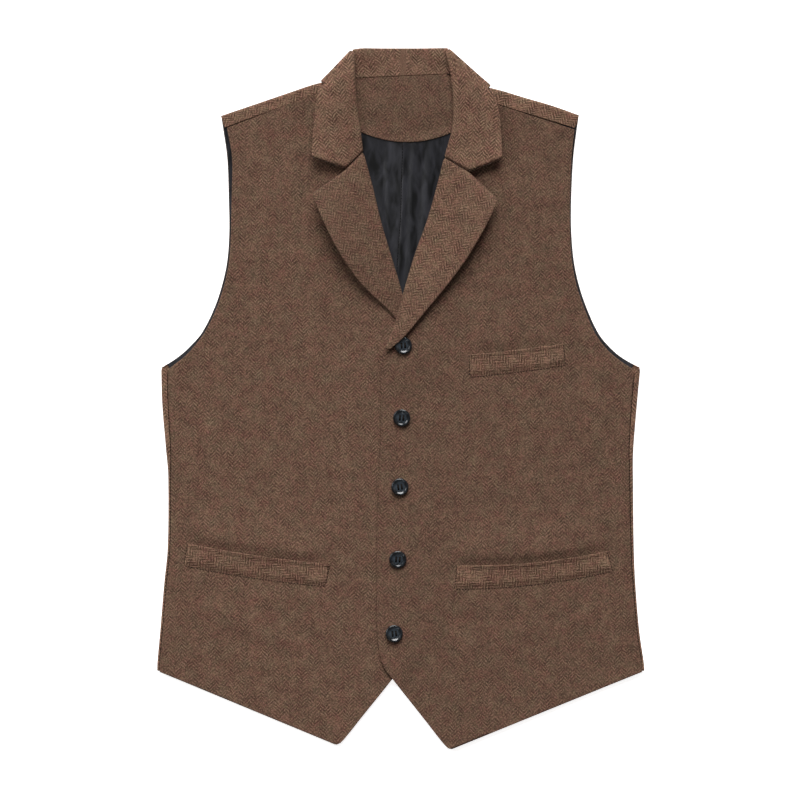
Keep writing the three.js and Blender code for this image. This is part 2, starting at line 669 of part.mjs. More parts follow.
function collar() {
  const half = collarHalf;
  const top = collarTopY - half - collarWall / 2;
  const along = new THREE.Vector2(0, -1);
  const backRows = steps(-backStationReach, backStationReach, backStations - 1).map((x) => ({
    name: sideOf(x), along, edge: new THREE.Vector2(x, fallEdge(x)), bend: null,
    centre: new THREE.Vector2(x, top), under: top - neckSeam(x) - seamGap / 2,
    half, bow: 0, edgeRise: 2 * half, angle: Math.PI,
  }));
  const stations = [
    ...collarStations('left'), ...cornerStations('left'),
    ...backRows,
    ...cornerStations('right').reverse(), ...collarStations('right').reverse(),
  ];
  return wall(stations.map(stationPoints), collarWall);
}

// The fronts: each row runs from the side or armhole to the front edge, the lapel's seam or the neck seam

const frontColumns = [0, 0.008, 0.025, 0.06, 0.11, 0.18, 0.28, 0.4, 0.52, 0.64, 0.75, 0.85, 0.93, 1];
const armholeShare = 1.5;

function frontRows(name) {
  const rows = [...frontEdges[name]];
  const foot = rows[rows.length - 1];
  const seam = (s) => s.centre.clone().addScaledVector(s.along, s.under + seamGap);
  const shoulderX = shoulderStartX - 4;
  const top = side[name].shoulder(shoulderX) - side[name].shoulderSeam(shoulderX) - seamGap / 2;
  const inner = [
    ...lapelStations(name).map(seam).reverse(),
    ...collarStations(name).slice(1).map(seam).filter((point) => point.y < top - 3),
    new THREE.Vector2(outward[name] * shoulderX, top),
  ];
  const tipX = side[name].armhole(271) - side[name].inset(271);
  const tipY = side[name].shoulder(tipX) - side[name].shoulderSeam(tipX) - seamGap / 2;
  for (const point of inner) {
    const share = ((point.y - foot.y) / (top - foot.y)) ** armholeShare;
    rows.push({ sideY: lerp(underarmY, tipY, share), x: point.x, y: point.y });
  }
  return rows;
}

function frontOuter(name, y) {
  if (y <= underarmY) return side[name].fold(y) - side[name].seam(y) - foldSeamGap / 2;
  const armhole = side[name].armhole(y) - side[name].inset(y);
  const seamTop = side[name].fold(underarmY) - side[name].seam(underarmY) - foldSeamGap / 2;
  return lerp(seamTop, armhole, smooth((y - underarmY) / 5));
}

function front(name) {
  const rows = frontRows(name);
  const grid = frontColumns.map((share) => rows.map((row) => {
    const outer = new THREE.Vector2(outward[name] * frontOuter(name, row.sideY), row.sideY);
    const place = outer.lerp(new THREE.Vector2(row.x, row.y), share);
    return new THREE.Vector3(place.x, place.y, frontHeight(name, place.x, place.y));
  }));
  return wall(name === 'left' ? grid : turned(grid), frontWall);
}

// Height of the upper face of a piece above one place
function topOf(geometry, x, y) {
  const down = new THREE.Raycaster(new THREE.Vector3(x, y, 60), new THREE.Vector3(0, 0, -1));
  const hits = down.intersectObject(new THREE.Mesh(geometry));
  return hits.length ? hits[0].point.z : 0;
}

// Welts follow the front that they lie on, moved out

function welt(row, ground) {
  const grid = steps(0, 1, 14).map((u) => steps(0, 1, 3).map((v) => {
    const topX = lerp(row.leftX, row.rightX, u);
    const topY = lerp(row.leftTopY, row.rightTopY, u);
    const footX = lerp(row.leftFootX, row.rightFootX, u);
    const footY = lerp(row.leftFootY, row.rightFootY, u);
    const x = lerp(footX, topX, v);
    const y = lerp(footY, topY, v) - 4 * row.sag * u * (1 - u);
    const mouth = row.mouth * v * v * 4 * u * (1 - u);
    return new THREE.Vector3(x, y, topOf(ground, x, y) + seamGap + weltWall / 2 + mouth);
  }));
  return wall(grid, weltWall);
}

// Buttons: turned discs with a raised rim, a sunk face and four sewing holes

function toManifold(geometry) {
  const bare = geometry.clone();
  bare.deleteAttribute('normal');
  bare.deleteAttribute('uv');
  const merged = mergeVertices(bare, 1e-4);
  return new wasm.Manifold(new wasm.Mesh({
    numProp: 3,
    vertProperties: new Float32Array(merged.attributes.position.array),
    triVerts: new Uint32Array(merged.index.array),
  }));
}

function toGeometry(solid) {
  const mesh = solid.getMesh();
  const geometry = new THREE.BufferGeometry();
  geometry.setAttribute('position', new THREE.BufferAttribute(new Float32Array(mesh.vertProperties), 3));
  geometry.setIndex(new THREE.BufferAttribute(new Uint32Array(mesh.triVerts), 1));
  return geometry;
}

function buttonGeometry() {
  const profile = buttonProfile.map((p) => new THREE.Vector2(p.radius, p.z));
  const disc = new THREE.LatheGeometry(profile, 20);
  disc.rotateX(Math.PI / 2);
  let solid = toManifold(disc);
  for (const sx of [-1, 1]) {
    for (const sy of [-1, 1]) {
      const hole = new THREE.CylinderGeometry(buttonHole.radius, buttonHole.radius, 8, 8);
      hole.rotateX(Math.PI / 2);
      hole.translate(sx * buttonHole.acrossX, sy * buttonHole.acrossY, 1);
      solid = solid.subtract(toManifold(hole));
    }
  }
  return toGeometry(solid);
}

// The height at which a button rests just clear of the cloth under it
function buttonSeat(place, ground) {
  let seat = 0;
  for (const radius of [0, 0.35, 0.65, 0.9]) {
    for (const angle of steps(0, 2 * Math.PI, 16)) {
      const x = place.x + radius * buttonRadius * Math.cos(angle);
      const y = place.y + radius * buttonRadius * Math.sin(angle);
      seat = Math.max(seat, topOf(ground, x, y));
    }
  }
  return seat + seamGap;
}

const finishes = {
  tweed: { color: 0x6a5243, roughness: 0.95, metalness: 0 },
  satin: { color: 0x2b2d33, roughness: 0.45, metalness: 0 },
  button: { color: 0x34383c, roughness: 0.25, metalness: 0 },
};

const waistcoat = new THREE.Group();

function add(name, geometry, finish) {
  const mesh = new THREE.Mesh(geometry, new THREE.MeshStandardMaterial(finishes[finish]));
  mesh.name = name;
  waistcoat.add(mesh);
  return mesh;
}

add('back', back(), 'tweed');
add('back_neck_facing', neckFacing(), 'tweed');
const fronts = { left: front('left'), right: front('right') };
for (const name of ['left', 'right']) {
  add(`back_lining_${name}`, lining(name), 'satin');
  add(`front_${name}`, fronts[name], 'tweed');
  add(`lapel_${name}`, lapel(name), 'tweed');
}
add('collar', collar(), 'tweed');
for (const row of welts) add(row.name, welt(row, fronts[row.side]), 'tweed');
buttonPlaces.forEach((place, k) => {
  const button = add(`button_${k + 1}`, buttonGeometry(), 'button');
  button.position.set(place.x, place.y, buttonSeat(place, fronts.right));
});

export default waistcoat;
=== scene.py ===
import math

import bmesh
import bpy
import numpy as np
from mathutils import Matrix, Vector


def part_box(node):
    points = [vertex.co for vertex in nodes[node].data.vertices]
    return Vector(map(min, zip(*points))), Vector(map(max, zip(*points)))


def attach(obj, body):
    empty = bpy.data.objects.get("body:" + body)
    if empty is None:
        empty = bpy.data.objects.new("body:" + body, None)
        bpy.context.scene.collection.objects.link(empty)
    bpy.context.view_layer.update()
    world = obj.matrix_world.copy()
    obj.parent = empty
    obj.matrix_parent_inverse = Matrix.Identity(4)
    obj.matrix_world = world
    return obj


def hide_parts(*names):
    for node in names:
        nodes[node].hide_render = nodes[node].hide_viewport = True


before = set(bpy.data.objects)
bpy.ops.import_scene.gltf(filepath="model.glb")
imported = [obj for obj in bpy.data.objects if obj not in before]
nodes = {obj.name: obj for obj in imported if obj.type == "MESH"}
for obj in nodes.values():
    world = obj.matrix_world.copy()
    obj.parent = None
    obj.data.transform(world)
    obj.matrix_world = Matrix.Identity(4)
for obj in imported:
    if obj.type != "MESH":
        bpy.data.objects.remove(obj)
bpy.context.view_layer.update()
print("frame loaded:", len(nodes), "nodes")

millimetre = 0.001
uvPerMillimetre = 0.01  # the weave's UV map counts tenths of a metre
waveScale = 6.3  # a wave texture repeats this many times over one unit at a scale of one
signOf = {"left": -1.0, "right": 1.0}

# wall thicknesses and how the cut pieces lie on each other, in millimetres
cloth = {
    "back": 1.6, "lining": 1.0, "facing": 1.2, "front": 2.2, "collar": 2.0, "welt": 1.2,
    "seamGap": 0.3, "foldSeamGap": 0.5, "neckGap": 0.02,
    "liningOverBack": 1.6, "facingOverBack": 1.7, "frontOverBack": 3.8,
    "rightOverLeft": 2.7, "overlapRamp": 30.0,
    "sideFold": 2.4, "sideRise": 32.0, "shoulderFold": 1.9,
    "hemY": -272.5, "underarmY": 27.0,
    "sewnRim": 0.06, "hemFade": 2.0,  # rounding of a sewn edge, and the width over which a hem ends
}

# side folds from the hem up, and how far in from them the side seam runs
sideLines = {
    "y": [-274, -264, -233, -185, -149, -77, -53, -5, 30],
    "left": [244.0, 243.8, 241.0, 237.0, 233.5, 233.0, 235.0, 239.0, 240.0],
    "right": [243.8, 243.0, 238.5, 234.5, 233.0, 232.2, 232.4, 236.2, 239.5],
    "seamLeft": [2.4, 2.4, 2.4, 2.4, 2.4, 2.6, 4.6, 6.0, 6.5],
    "seamRight": [2.4, 2.4, 2.4, 2.4, 2.8, 3.4, 4.2, 5.4, 5.6],
}

# armholes: the back's edge, and how far in from it the front's edge lies
armholeLines = {
    "y": [30.5, 42.5, 54.5, 66.5, 90.5, 114.5, 138.5, 168.5, 200, 240.5, 271, 281],
    "left": [240, 222, 209, 199, 187, 179, 174, 172, 172.5, 174, 178.2, 179.6],
    "right": [239, 219, 206, 197, 186, 178, 173, 170.5, 170.5, 172.5, 176.2, 177.6],
    "insetLeft": [9, 6, 4, 2.8, 2.6, 2.4, 2, 2, 3, 5, 4, 4],
    "insetRight": [9, 6, 4.5, 3.4, 2.7, 2.7, 2, 1.4, 1.3, 1.8, 2.4, 2.4],
}

# shoulder folds by distance from the middle, and the straight shoulder seams below them
shoulderLines = {
    "x": [72, 80, 90, 102, 123, 150, 180],
    "left": [316.9, 316.0, 313.4, 309.4, 302.3, 292.9, 282.5],
    "right": [314.4, 312.8, 310.6, 307.6, 301.2, 293.2, 282.4],
    "seam": {"left": (85.5, 304.9, 0.383), "right": (97.8, 293.5, 0.32)},
    "slope": math.atan(0.35), "startX": 76.0, "tipX": {"left": 179.4, "right": 177.4},
    # towards its tip the wrap leans out and reaches further: how much, from which x, over what width
    "flare": (0.36, 120.0, 50.0), "reach": (1.4, 118.0, 60.0),
}

# where the collar's fall lies under the back of the neck and lifts it
neckLines = {
    "lift": 2.5, "liftLength": 56.0, "fallEdgeY": 304.0,
    "fallEnd": {"left": (78.0, 9.5), "right": (88.0, 5.0)},
    "seamY": 322.3, "seamTilt": 0.046, "reach": 46.0, "facingReach": 62.0, "endDrop": 12.0,
    "facingX": 6.0, "facingY": 256.3, "facingCurve": 0.0048,
}

# front edges from the hem's point to the lapel's foot, and the height on the side each row runs to
# each front's tone is painted light: the left front is made lighter and the right front darker, as the light
# falls across the waistcoat
frontEdges = {
    "left": {
        "sideY": [-273.5, -268, -244, -222, -204, -184, -148, -92, -34, 14, 27],
        "x": [-66, -59, -36, -8.5, 6, 14, 16.5, 18, 19.5, 20, 18],
        "y": [-346.2, -343.2, -314.8, -280.5, -260, -228, -165, -95, -30, 20, 38], "tone": 0.6,
    },
    "right": {
        "sideY": [-273.5, -268, -246, -222, -206, -188, -160, -120, -72, -26, 12, 27],
        "x": [53, 45.5, 22.6, -8.5, -18, -22.9, -24, -24, -22, -20.2, -20, -18.6],
        "y": [-350, -348.6, -320.1, -280.5, -266.5, -244.5, -205, -140, -81.5, -30, 20, 40], "tone": 0.48,
    },
}
underEdge = {"y": [-346, -280, -228, -95, 40, 110, 150], "x": [-40, -8, 16, 20, 22, 8, -8]}
lapelCross = {"x": 0.0, "lowY": 52.0, "highY": 104.0, "lift": 2.1, "full": 18.0, "reach": 62.0}

# welts: left and right ends top then foot, the sag of the upper edge, how far the mouth stands open,
# and how far the front swells above the mouth
weltShapes = {
    "chest": {"side": "right", "left": (68.5, 44.0, 69.0, 21.6), "right": (162.2, 54.8, 164.0, 33.2),
              "sag": 0.8, "mouth": 1.4, "swell": 1.4},
    "left": {"side": "left", "left": (-213.0, -144.9, -217.0, -167.0),
             "right": (-71.0, -165.3, -76.0, -187.7), "sag": 2.2, "mouth": 2.0, "swell": 2.4},
    "right": {"side": "right", "left": (56.0, -166.5, 54.0, -190.5), "right": (205.7, -152.7, 211.3, -172.5),
              "sag": 4.6, "mouth": 2.4, "swell": 3.2},
}
mouthSwell = {"above": 11.0, "below": 7.0, "beyond": 24.0}

# creases pressed by the way it lies: from x, y to x, y, half width, rise
creases = [
    (-98, 72, -99, -36, 3.2, -0.88), (-97, -48, -100, -136, 3.8, -0.72), (-93, 40, -94, -90, 3.0, 0.56),
    (113, 22, 116, -60, 3.4, -0.8), (117, -74, 119, -166, 4.0, -0.72), (122, 0, 126, -120, 3.6, 0.56),
    (39, 0, 41, -88, 4.6, -1.12), (47, -4, 50, -70, 4.0, 0.64), (188, 26, 214, -2, 5.0, -1.12),
    (176, 8, 205, -22, 5.0, 0.8), (-214, 12, -186, -18, 5.0, -0.96), (-206, -30, -190, -96, 5.0, 0.64),
    (-226, -60, -222, -130, 4.0, 0.64), (-150, 250, -140, 170, 6.0, 0.8),
    (-128, 262, -118, 196, 5.0, -0.64), (146, 252, 136, 176, 6.0, 0.72), (-118, -214, -70, -262, 7.0, -0.8),
    (-190, -206, -132, -244, 7.0, 0.8), (96, -214, 60, -270, 7.0, 0.8), (186, -204, 122, -252, 7.0, -0.8),
    (30, -130, 44, -196, 5.0, 0.56), (-44, -60, -40, -128, 5.0, 0.56), (26, 52, 64, 44, 5.0, 0.64),
    (24, -19, 52, -26, 4.0, 0.56), (22, -88, 48, -84, 4.0, 0.56), (-30, -19, -54, -24, 4.0, 0.48),
    (-32, -88, -56, -96, 4.0, 0.48),
]

# soft swells of the fronts: middle x and y, half length, half width, turn in degrees, rise
swells = [
    (-98, -30, 105, 7, 0, 0.7), (111, -70, 100, 8, 0, 0.7), (52, -60, 60, 10, 4, 0.9),
    (-190, -20, 70, 14, -14, 1.0), (196, -10, 70, 13, 16, 1.0),
    (-120, 190, 80, 18, 6, 0.8), (128, 185, 80, 18, -6, 0.8),
    (-150, -230, 70, 16, -70, 0.9), (150, -232, 70, 16, 70, 0.9),
]


def smooth(t):
    s = np.clip(t, 0.0, 1.0)
    return s * s * (3.0 - 2.0 * s)


def curve(xs, ys):  # a smooth curve through one column of a table
    xs, ys = np.asarray(xs, float), np.asarray(ys, float)
    after = np.minimum(np.arange(len(xs)) + 1, len(xs) - 1)
    before = np.maximum(np.arange(len(xs)) - 1, 0)
    slopes = (ys[after] - ys[before]) / (xs[after] - xs[before])

    def at(x):
        x = np.clip(x, xs[0], xs[-1])
        k = np.clip(np.searchsorted(xs, x, side="right") - 1, 0, len(xs) - 2)
        span = xs[k + 1] - xs[k]
        t = (x - xs[k]) / span
        bend = (slopes[k] * (1 - t) - slopes[k + 1] * t) * span * t * (1 - t)
        return ys[k] + (ys[k + 1] - ys[k]) * t * t * (3 - 2 * t) + bend

    return at


def spread(length, step, dense=(0.0, 0.12, 0.35, 0.7, 1.2, 2.0, 3.2), both=True):
    # shares from 0 to 1 with lines close together at the ends, where an edge is rounded
    near = [d for d in dense if d < length / 2.5]
    last = near[-1]
    count = max(int(round((length - last * (2 if both else 1)) / step)), 2)
    middle = np.linspace(last, length - (last if both else 0), count + 1)[1:]
    far = [length - d for d in reversed(near[:-1])] if both else []
    return np.array(near + list(middle) + far) / length


sideFold, sideSeam, armhole, armInset, shoulder = {}, {}, {}, {}, {}
for side in ("left", "right"):
    tail = side.capitalize()
    sideFold[side] = curve(sideLines["y"], sideLines[side])
    sideSeam[side] = curve(sideLines["y"], sideLines["seam" + tail])
    armhole[side] = curve(armholeLines["y"], armholeLines[side])
    armInset[side] = curve(armholeLines["y"], armholeLines["inset" + tail])
    shoulder[side] = curve(shoulderLines["x"], shoulderLines[side])
underEdgeX = curve(underEdge["y"], underEdge["x"])


def shoulderSeamY(side, x):
    seamX, seamY, slope = shoulderLines["seam"][side]
    return seamY - slope * (x - seamX)


def fallEdge(x):
    end = neckLines["fallEnd"]
    left = end["left"][1] * (x / end["left"][0]) ** 2
    right = end["right"][1] * (x / end["right"][0]) ** 2
    return neckLines["fallEdgeY"] + np.where(x < 0, left, right)


def backHeight(x, y):
    length = neckLines["liftLength"]
    return cloth["back"] / 2 + neckLines["lift"] * smooth((y - fallEdge(x) + length) / length)


def swellHeight(x, y):
    height = 0.0
    for middleX, middleY, long, wide, turn, rise in swells:
        turn = math.radians(turn)
        across = ((x - middleX) * math.cos(turn) - (y - middleY) * math.sin(turn)) / wide
        along = ((x - middleX) * math.sin(turn) + (y - middleY) * math.cos(turn)) / long
        height = height + rise * np.exp(-across ** 2 - along ** 2)
    return height


def creaseHeight(side, x, y):
    height = 0.0 * x
    for fromX, fromY, toX, toY, wide, rise in creases:
        if (fromX < 0) != (side == "left"):
            continue
        alongX, alongY = toX - fromX, toY - fromY
        length = math.hypot(alongX, alongY)
        t = ((x - fromX) * alongX + (y - fromY) * alongY) / length ** 2
        away = ((x - fromX) * alongY - (y - fromY) * alongX) / length
        ends = smooth(t * 3 + 0.5) * smooth((1 - t) * 2 + 0.5)
        height = height + rise * ends * np.exp(-(away / wide) ** 2)
    for shape in weltShapes.values():
        if shape["side"] != side:
            continue
        (leftX, leftTop, _, _), (rightX, rightTop, _, _) = shape["left"], shape["right"]
        t = (x - leftX) / (rightX - leftX)
        above = y - leftTop - t * (rightTop - leftTop) + 4 * shape["sag"] * t * (1 - t)
        ends = smooth(t * 4 + 0.4) * smooth((1 - t) * 4 + 0.4)
        past = above - mouthSwell["above"]
        wide = np.where(past < 0, mouthSwell["below"], mouthSwell["beyond"])
        height = height + shape["swell"] * ends * np.exp(-(past / wide) ** 2)
    return height


def frontHeight(side, x, y):
    out = np.abs(x)
    radius, rise = cloth["sideFold"], cloth["sideRise"]
    axis = sideFold[side](np.minimum(y, cloth["underarmY"])) - cloth["back"] / 2 - radius
    beyond = np.clip(out - axis, 0, radius)
    height = backHeight(x, y) + cloth["frontOverBack"]
    height = height + (2 * radius - cloth["frontOverBack"]) * smooth(1 - (axis - out) / rise)
    height = height - (radius - np.sqrt(radius ** 2 - beyond ** 2))
    height = height + (swellHeight(x, y) + creaseHeight(side, x, y)) * smooth((axis - out) / rise)
    if side == "right":
        height = height + cloth["rightOverLeft"] * smooth(1 - (x - underEdgeX(y) - 4) / cloth["overlapRamp"])
        crossY = np.clip(y, lapelCross["lowY"], lapelCross["highY"])
        away = np.hypot(x - lapelCross["x"], y - crossY)
        reach = lapelCross["reach"] - lapelCross["full"]
        height = height + lapelCross["lift"] * smooth(1 - (away - lapelCross["full"]) / reach)
    return height


def normalsOf(grid):
    du, dv = np.gradient(grid, axis=0), np.gradient(grid, axis=1)
    normals = np.cross(du, dv)
    return normals / np.maximum(np.linalg.norm(normals, axis=2, keepdims=True), 1e-9)


def borderDistances(grid):
    # how far each point lies from the first row, the last row, the first column and the last column
    found = []
    for axis in (0, 1):
        lengths = np.linalg.norm(np.diff(grid, axis=axis), axis=2)
        total = np.cumsum(np.pad(lengths, [(1, 0), (0, 0)] if axis == 0 else [(0, 0), (1, 0)]), axis=axis)
        end = total[-1:, :] if axis == 0 else total[:, -1:]
        found += [total, end - total]
    return found


def clothShell(name, grid, wall, uv, material, seams=(), gorge=None, hem=(7.0, 0.25), tone=0.5):
    # a closed cloth wall about its middle surface: free edges are round and hold a turned-in allowance,
    # and the edges named in seams (first row, last row, first column, last column) are close and square,
    # as is each row named in gorge over its first columns
    distances = borderDistances(grid)
    distance = np.minimum.reduce(distances)
    rounding = np.ones(distance.shape)
    free = np.full(distance.shape, 1e3)
    for border, away in zip(("firstRow", "lastRow", "firstColumn", "lastColumn"), distances):
        sewn = np.full(distance.shape, border in seams)
        if gorge and border in gorge:
            sewn[:, :gorge[border]] = True
        rim = np.where(sewn, cloth["sewnRim"], wall / 2)
        rounding = np.minimum(rounding, np.sqrt(1 - (1 - np.clip(away / rim, 0, 1)) ** 2))
        free = np.where(sewn, free, np.minimum(free, away))
    extra = hem[1] * (1 - smooth((free - hem[0]) / cloth["hemFade"])) * rounding
    half = (wall * rounding / 2)[..., None]
    normals = normalsOf(grid)
    upper = grid + normals * (half + extra[..., None])
    lower = grid - normals * half
    upper[..., 2], lower[..., 2] = np.maximum(upper[..., 2], 0), np.maximum(lower[..., 2], 0)
    rows, columns = distance.shape
    inside = np.zeros((rows, columns), bool)
    inside[1:-1, 1:-1] = True
    upperIndex = np.arange(rows * columns).reshape(rows, columns)
    lowerIndex = upperIndex.copy()
    lowerIndex[inside] = rows * columns + np.arange(inside.sum())
    points = np.concatenate([upper.reshape(-1, 3), lower[inside]]) * millimetre
    flat = np.concatenate([uv.reshape(-1, 2), uv[inside]]) * uvPerMillimetre

    def quads(index, flip):
        corners = [index[:-1, :-1], index[1:, :-1], index[1:, 1:], index[:-1, 1:]]
        if flip:
            corners = corners[::-1]
        return np.stack([c.reshape(-1) for c in corners], axis=1)

    faces = np.concatenate([quads(upperIndex, False), quads(lowerIndex, True)])
    return meshObject(name, points, faces, material, flat, tone)


def addObject(name, data):
    made = bpy.data.objects.new(name, data)
    bpy.context.scene.collection.objects.link(made)
    return made


def meshObject(name, points, faces, material, flat=None, tone=0.5):
    mesh = bpy.data.meshes.new(name)
    mesh.from_pydata([tuple(p) for p in points], [], [tuple(int(k) for k in f) for f in faces])
    mesh.polygons.foreach_set("use_smooth", np.ones(len(mesh.polygons), bool))
    if flat is not None:
        loops = np.zeros(len(mesh.loops), np.int32)
        mesh.loops.foreach_get("vertex_index", loops)
        layer = mesh.uv_layers.new(name="weave")
        layer.data.foreach_set("uv", flat[loops].reshape(-1).astype(np.float32))
        # the tone of each piece lightens or darkens its tweed: partly the cloth's own shade, partly painted
        # light where a piece is made lighter or darker as the light falls on it
        toneWithPaintedLight = mesh.attributes.new("tone", "FLOAT", "POINT")
        toneWithPaintedLight.data.foreach_set("value", np.full(len(points), tone, np.float32))
    mesh.materials.append(material)
    mesh.update()
    return addObject(name, mesh)


def turnedUv(xy, degrees):
    turn = math.radians(degrees)
    u = xy[..., 0] * math.cos(turn) + xy[..., 1] * math.sin(turn)
    v = -xy[..., 0] * math.sin(turn) + xy[..., 1] * math.cos(turn)
    return np.stack([u, v], axis=-1)


def roundCorner(grid, corner, towardA, towardB, size):
    # pulls the points beside a sharp corner in to a round one, seen from above
    a = np.subtract(towardA, corner)
    b = np.subtract(towardB, corner)
    basis = np.stack([a / np.linalg.norm(a), b / np.linalg.norm(b)], axis=1)
    local = (grid[..., :2] - np.asarray(corner, float)) @ np.linalg.inv(basis).T
    share = 1 - np.clip(local / size, -0.2, 1)
    inside = (local[..., 0] < size) & (local[..., 1] < size)
    pulled = np.stack([
        share[..., 0] * np.sqrt(np.clip(1 - share[..., 1] ** 2 / 2, 0, 1)),
        share[..., 1] * np.sqrt(np.clip(1 - share[..., 0] ** 2 / 2, 0, 1)),
    ], axis=-1)
    moved = (1 - pulled) * size @ basis.T + np.asarray(corner, float)
    grid[..., :2] = np.where(inside[..., None], moved, grid[..., :2])
    return grid


def linear(hexColour):  # sRGB hex to the linear colour a shader takes
    parts = [int(hexColour[k:k + 2], 16) / 255 for k in (1, 3, 5)]
    return tuple(p / 12.92 if p <= 0.04045 else ((p + 0.055) / 1.055) ** 2.4 for p in parts) + (1.0,)


def setInputs(tree, node, inputs):
    for socket, value in inputs.items():
        if isinstance(value, bpy.types.NodeSocket):
            tree.links.new(value, node.inputs[socket])
        else:
            node.inputs[socket].default_value = value


def addNode(tree, kind, inputs, **settings):
    node = tree.nodes.new(kind)
    for key, value in settings.items():
        setattr(node, key, value)
    setInputs(tree, node, inputs)
    return node


def addSteps(tree, kind, found, steps):
    # a run of nodes: each result's name, its operation, then numbers or the names of earlier results
    for name, operation, *values in steps:
        inputs = {k: found[v] if isinstance(v, str) else v for k, v in enumerate(values)}
        found[name] = addNode(tree, kind, inputs, operation=operation).outputs[0]


def newMaterial(name):
    material = bpy.data.materials.new(name)
    material.use_nodes = True
    tree = material.node_tree
    shader = next(n for n in tree.nodes if n.type == "BSDF_PRINCIPLED")
    return material, tree, shader


# wool tweed: 2/2 herringbone of coarse woollen-spun yarns, light weft over dark warp
tweed = {
    "endSpacing": 0.965,  # mm between warp yarns
    "pickSpacing": 0.91,  # mm between weft yarns
    "endsPerColumn": 6,  # the twill turns after this many ends: 5.8 mm
    # the hollow shade colour is painted shade, mixed into the hollows between the yarns
    "warp": "#4C372A", "weft": "#7E6150", "hollowShade": "#291D17",
    "wander": 0.5,  # mm that the yarns wander
    "clarity": (0.16, 0.74),  # least and most that the herringbone shows as the nap hides it
    "bump": 0.2,  # mm from the hollow between two yarns to a yarn's crown
    "napRange": (0.35, 0.65), "crownPower": 0.6,
    # clouds over the cloth: size as a noise scale per mm, detail, roughness
    "clouds": {"drift": (0.13, 2.0, 0.5), "nap": (0.085, 3.0, 0.5), "fibre": (0.9, 4.0, 0.75),
               "broad": (0.045, 4.0, 0.6), "tint": (0.07, 4.0, 0.65)},
    # how far each of these changes the shade, and the least that it leaves; tone carries each piece's own
    # shade and also painted light
    "shading": {"fleck": (0.96, 0.52), "fibre": (0.62, 0.69), "broad": (0.56, 0.7), "tone": (0.5, 0.7)},
}


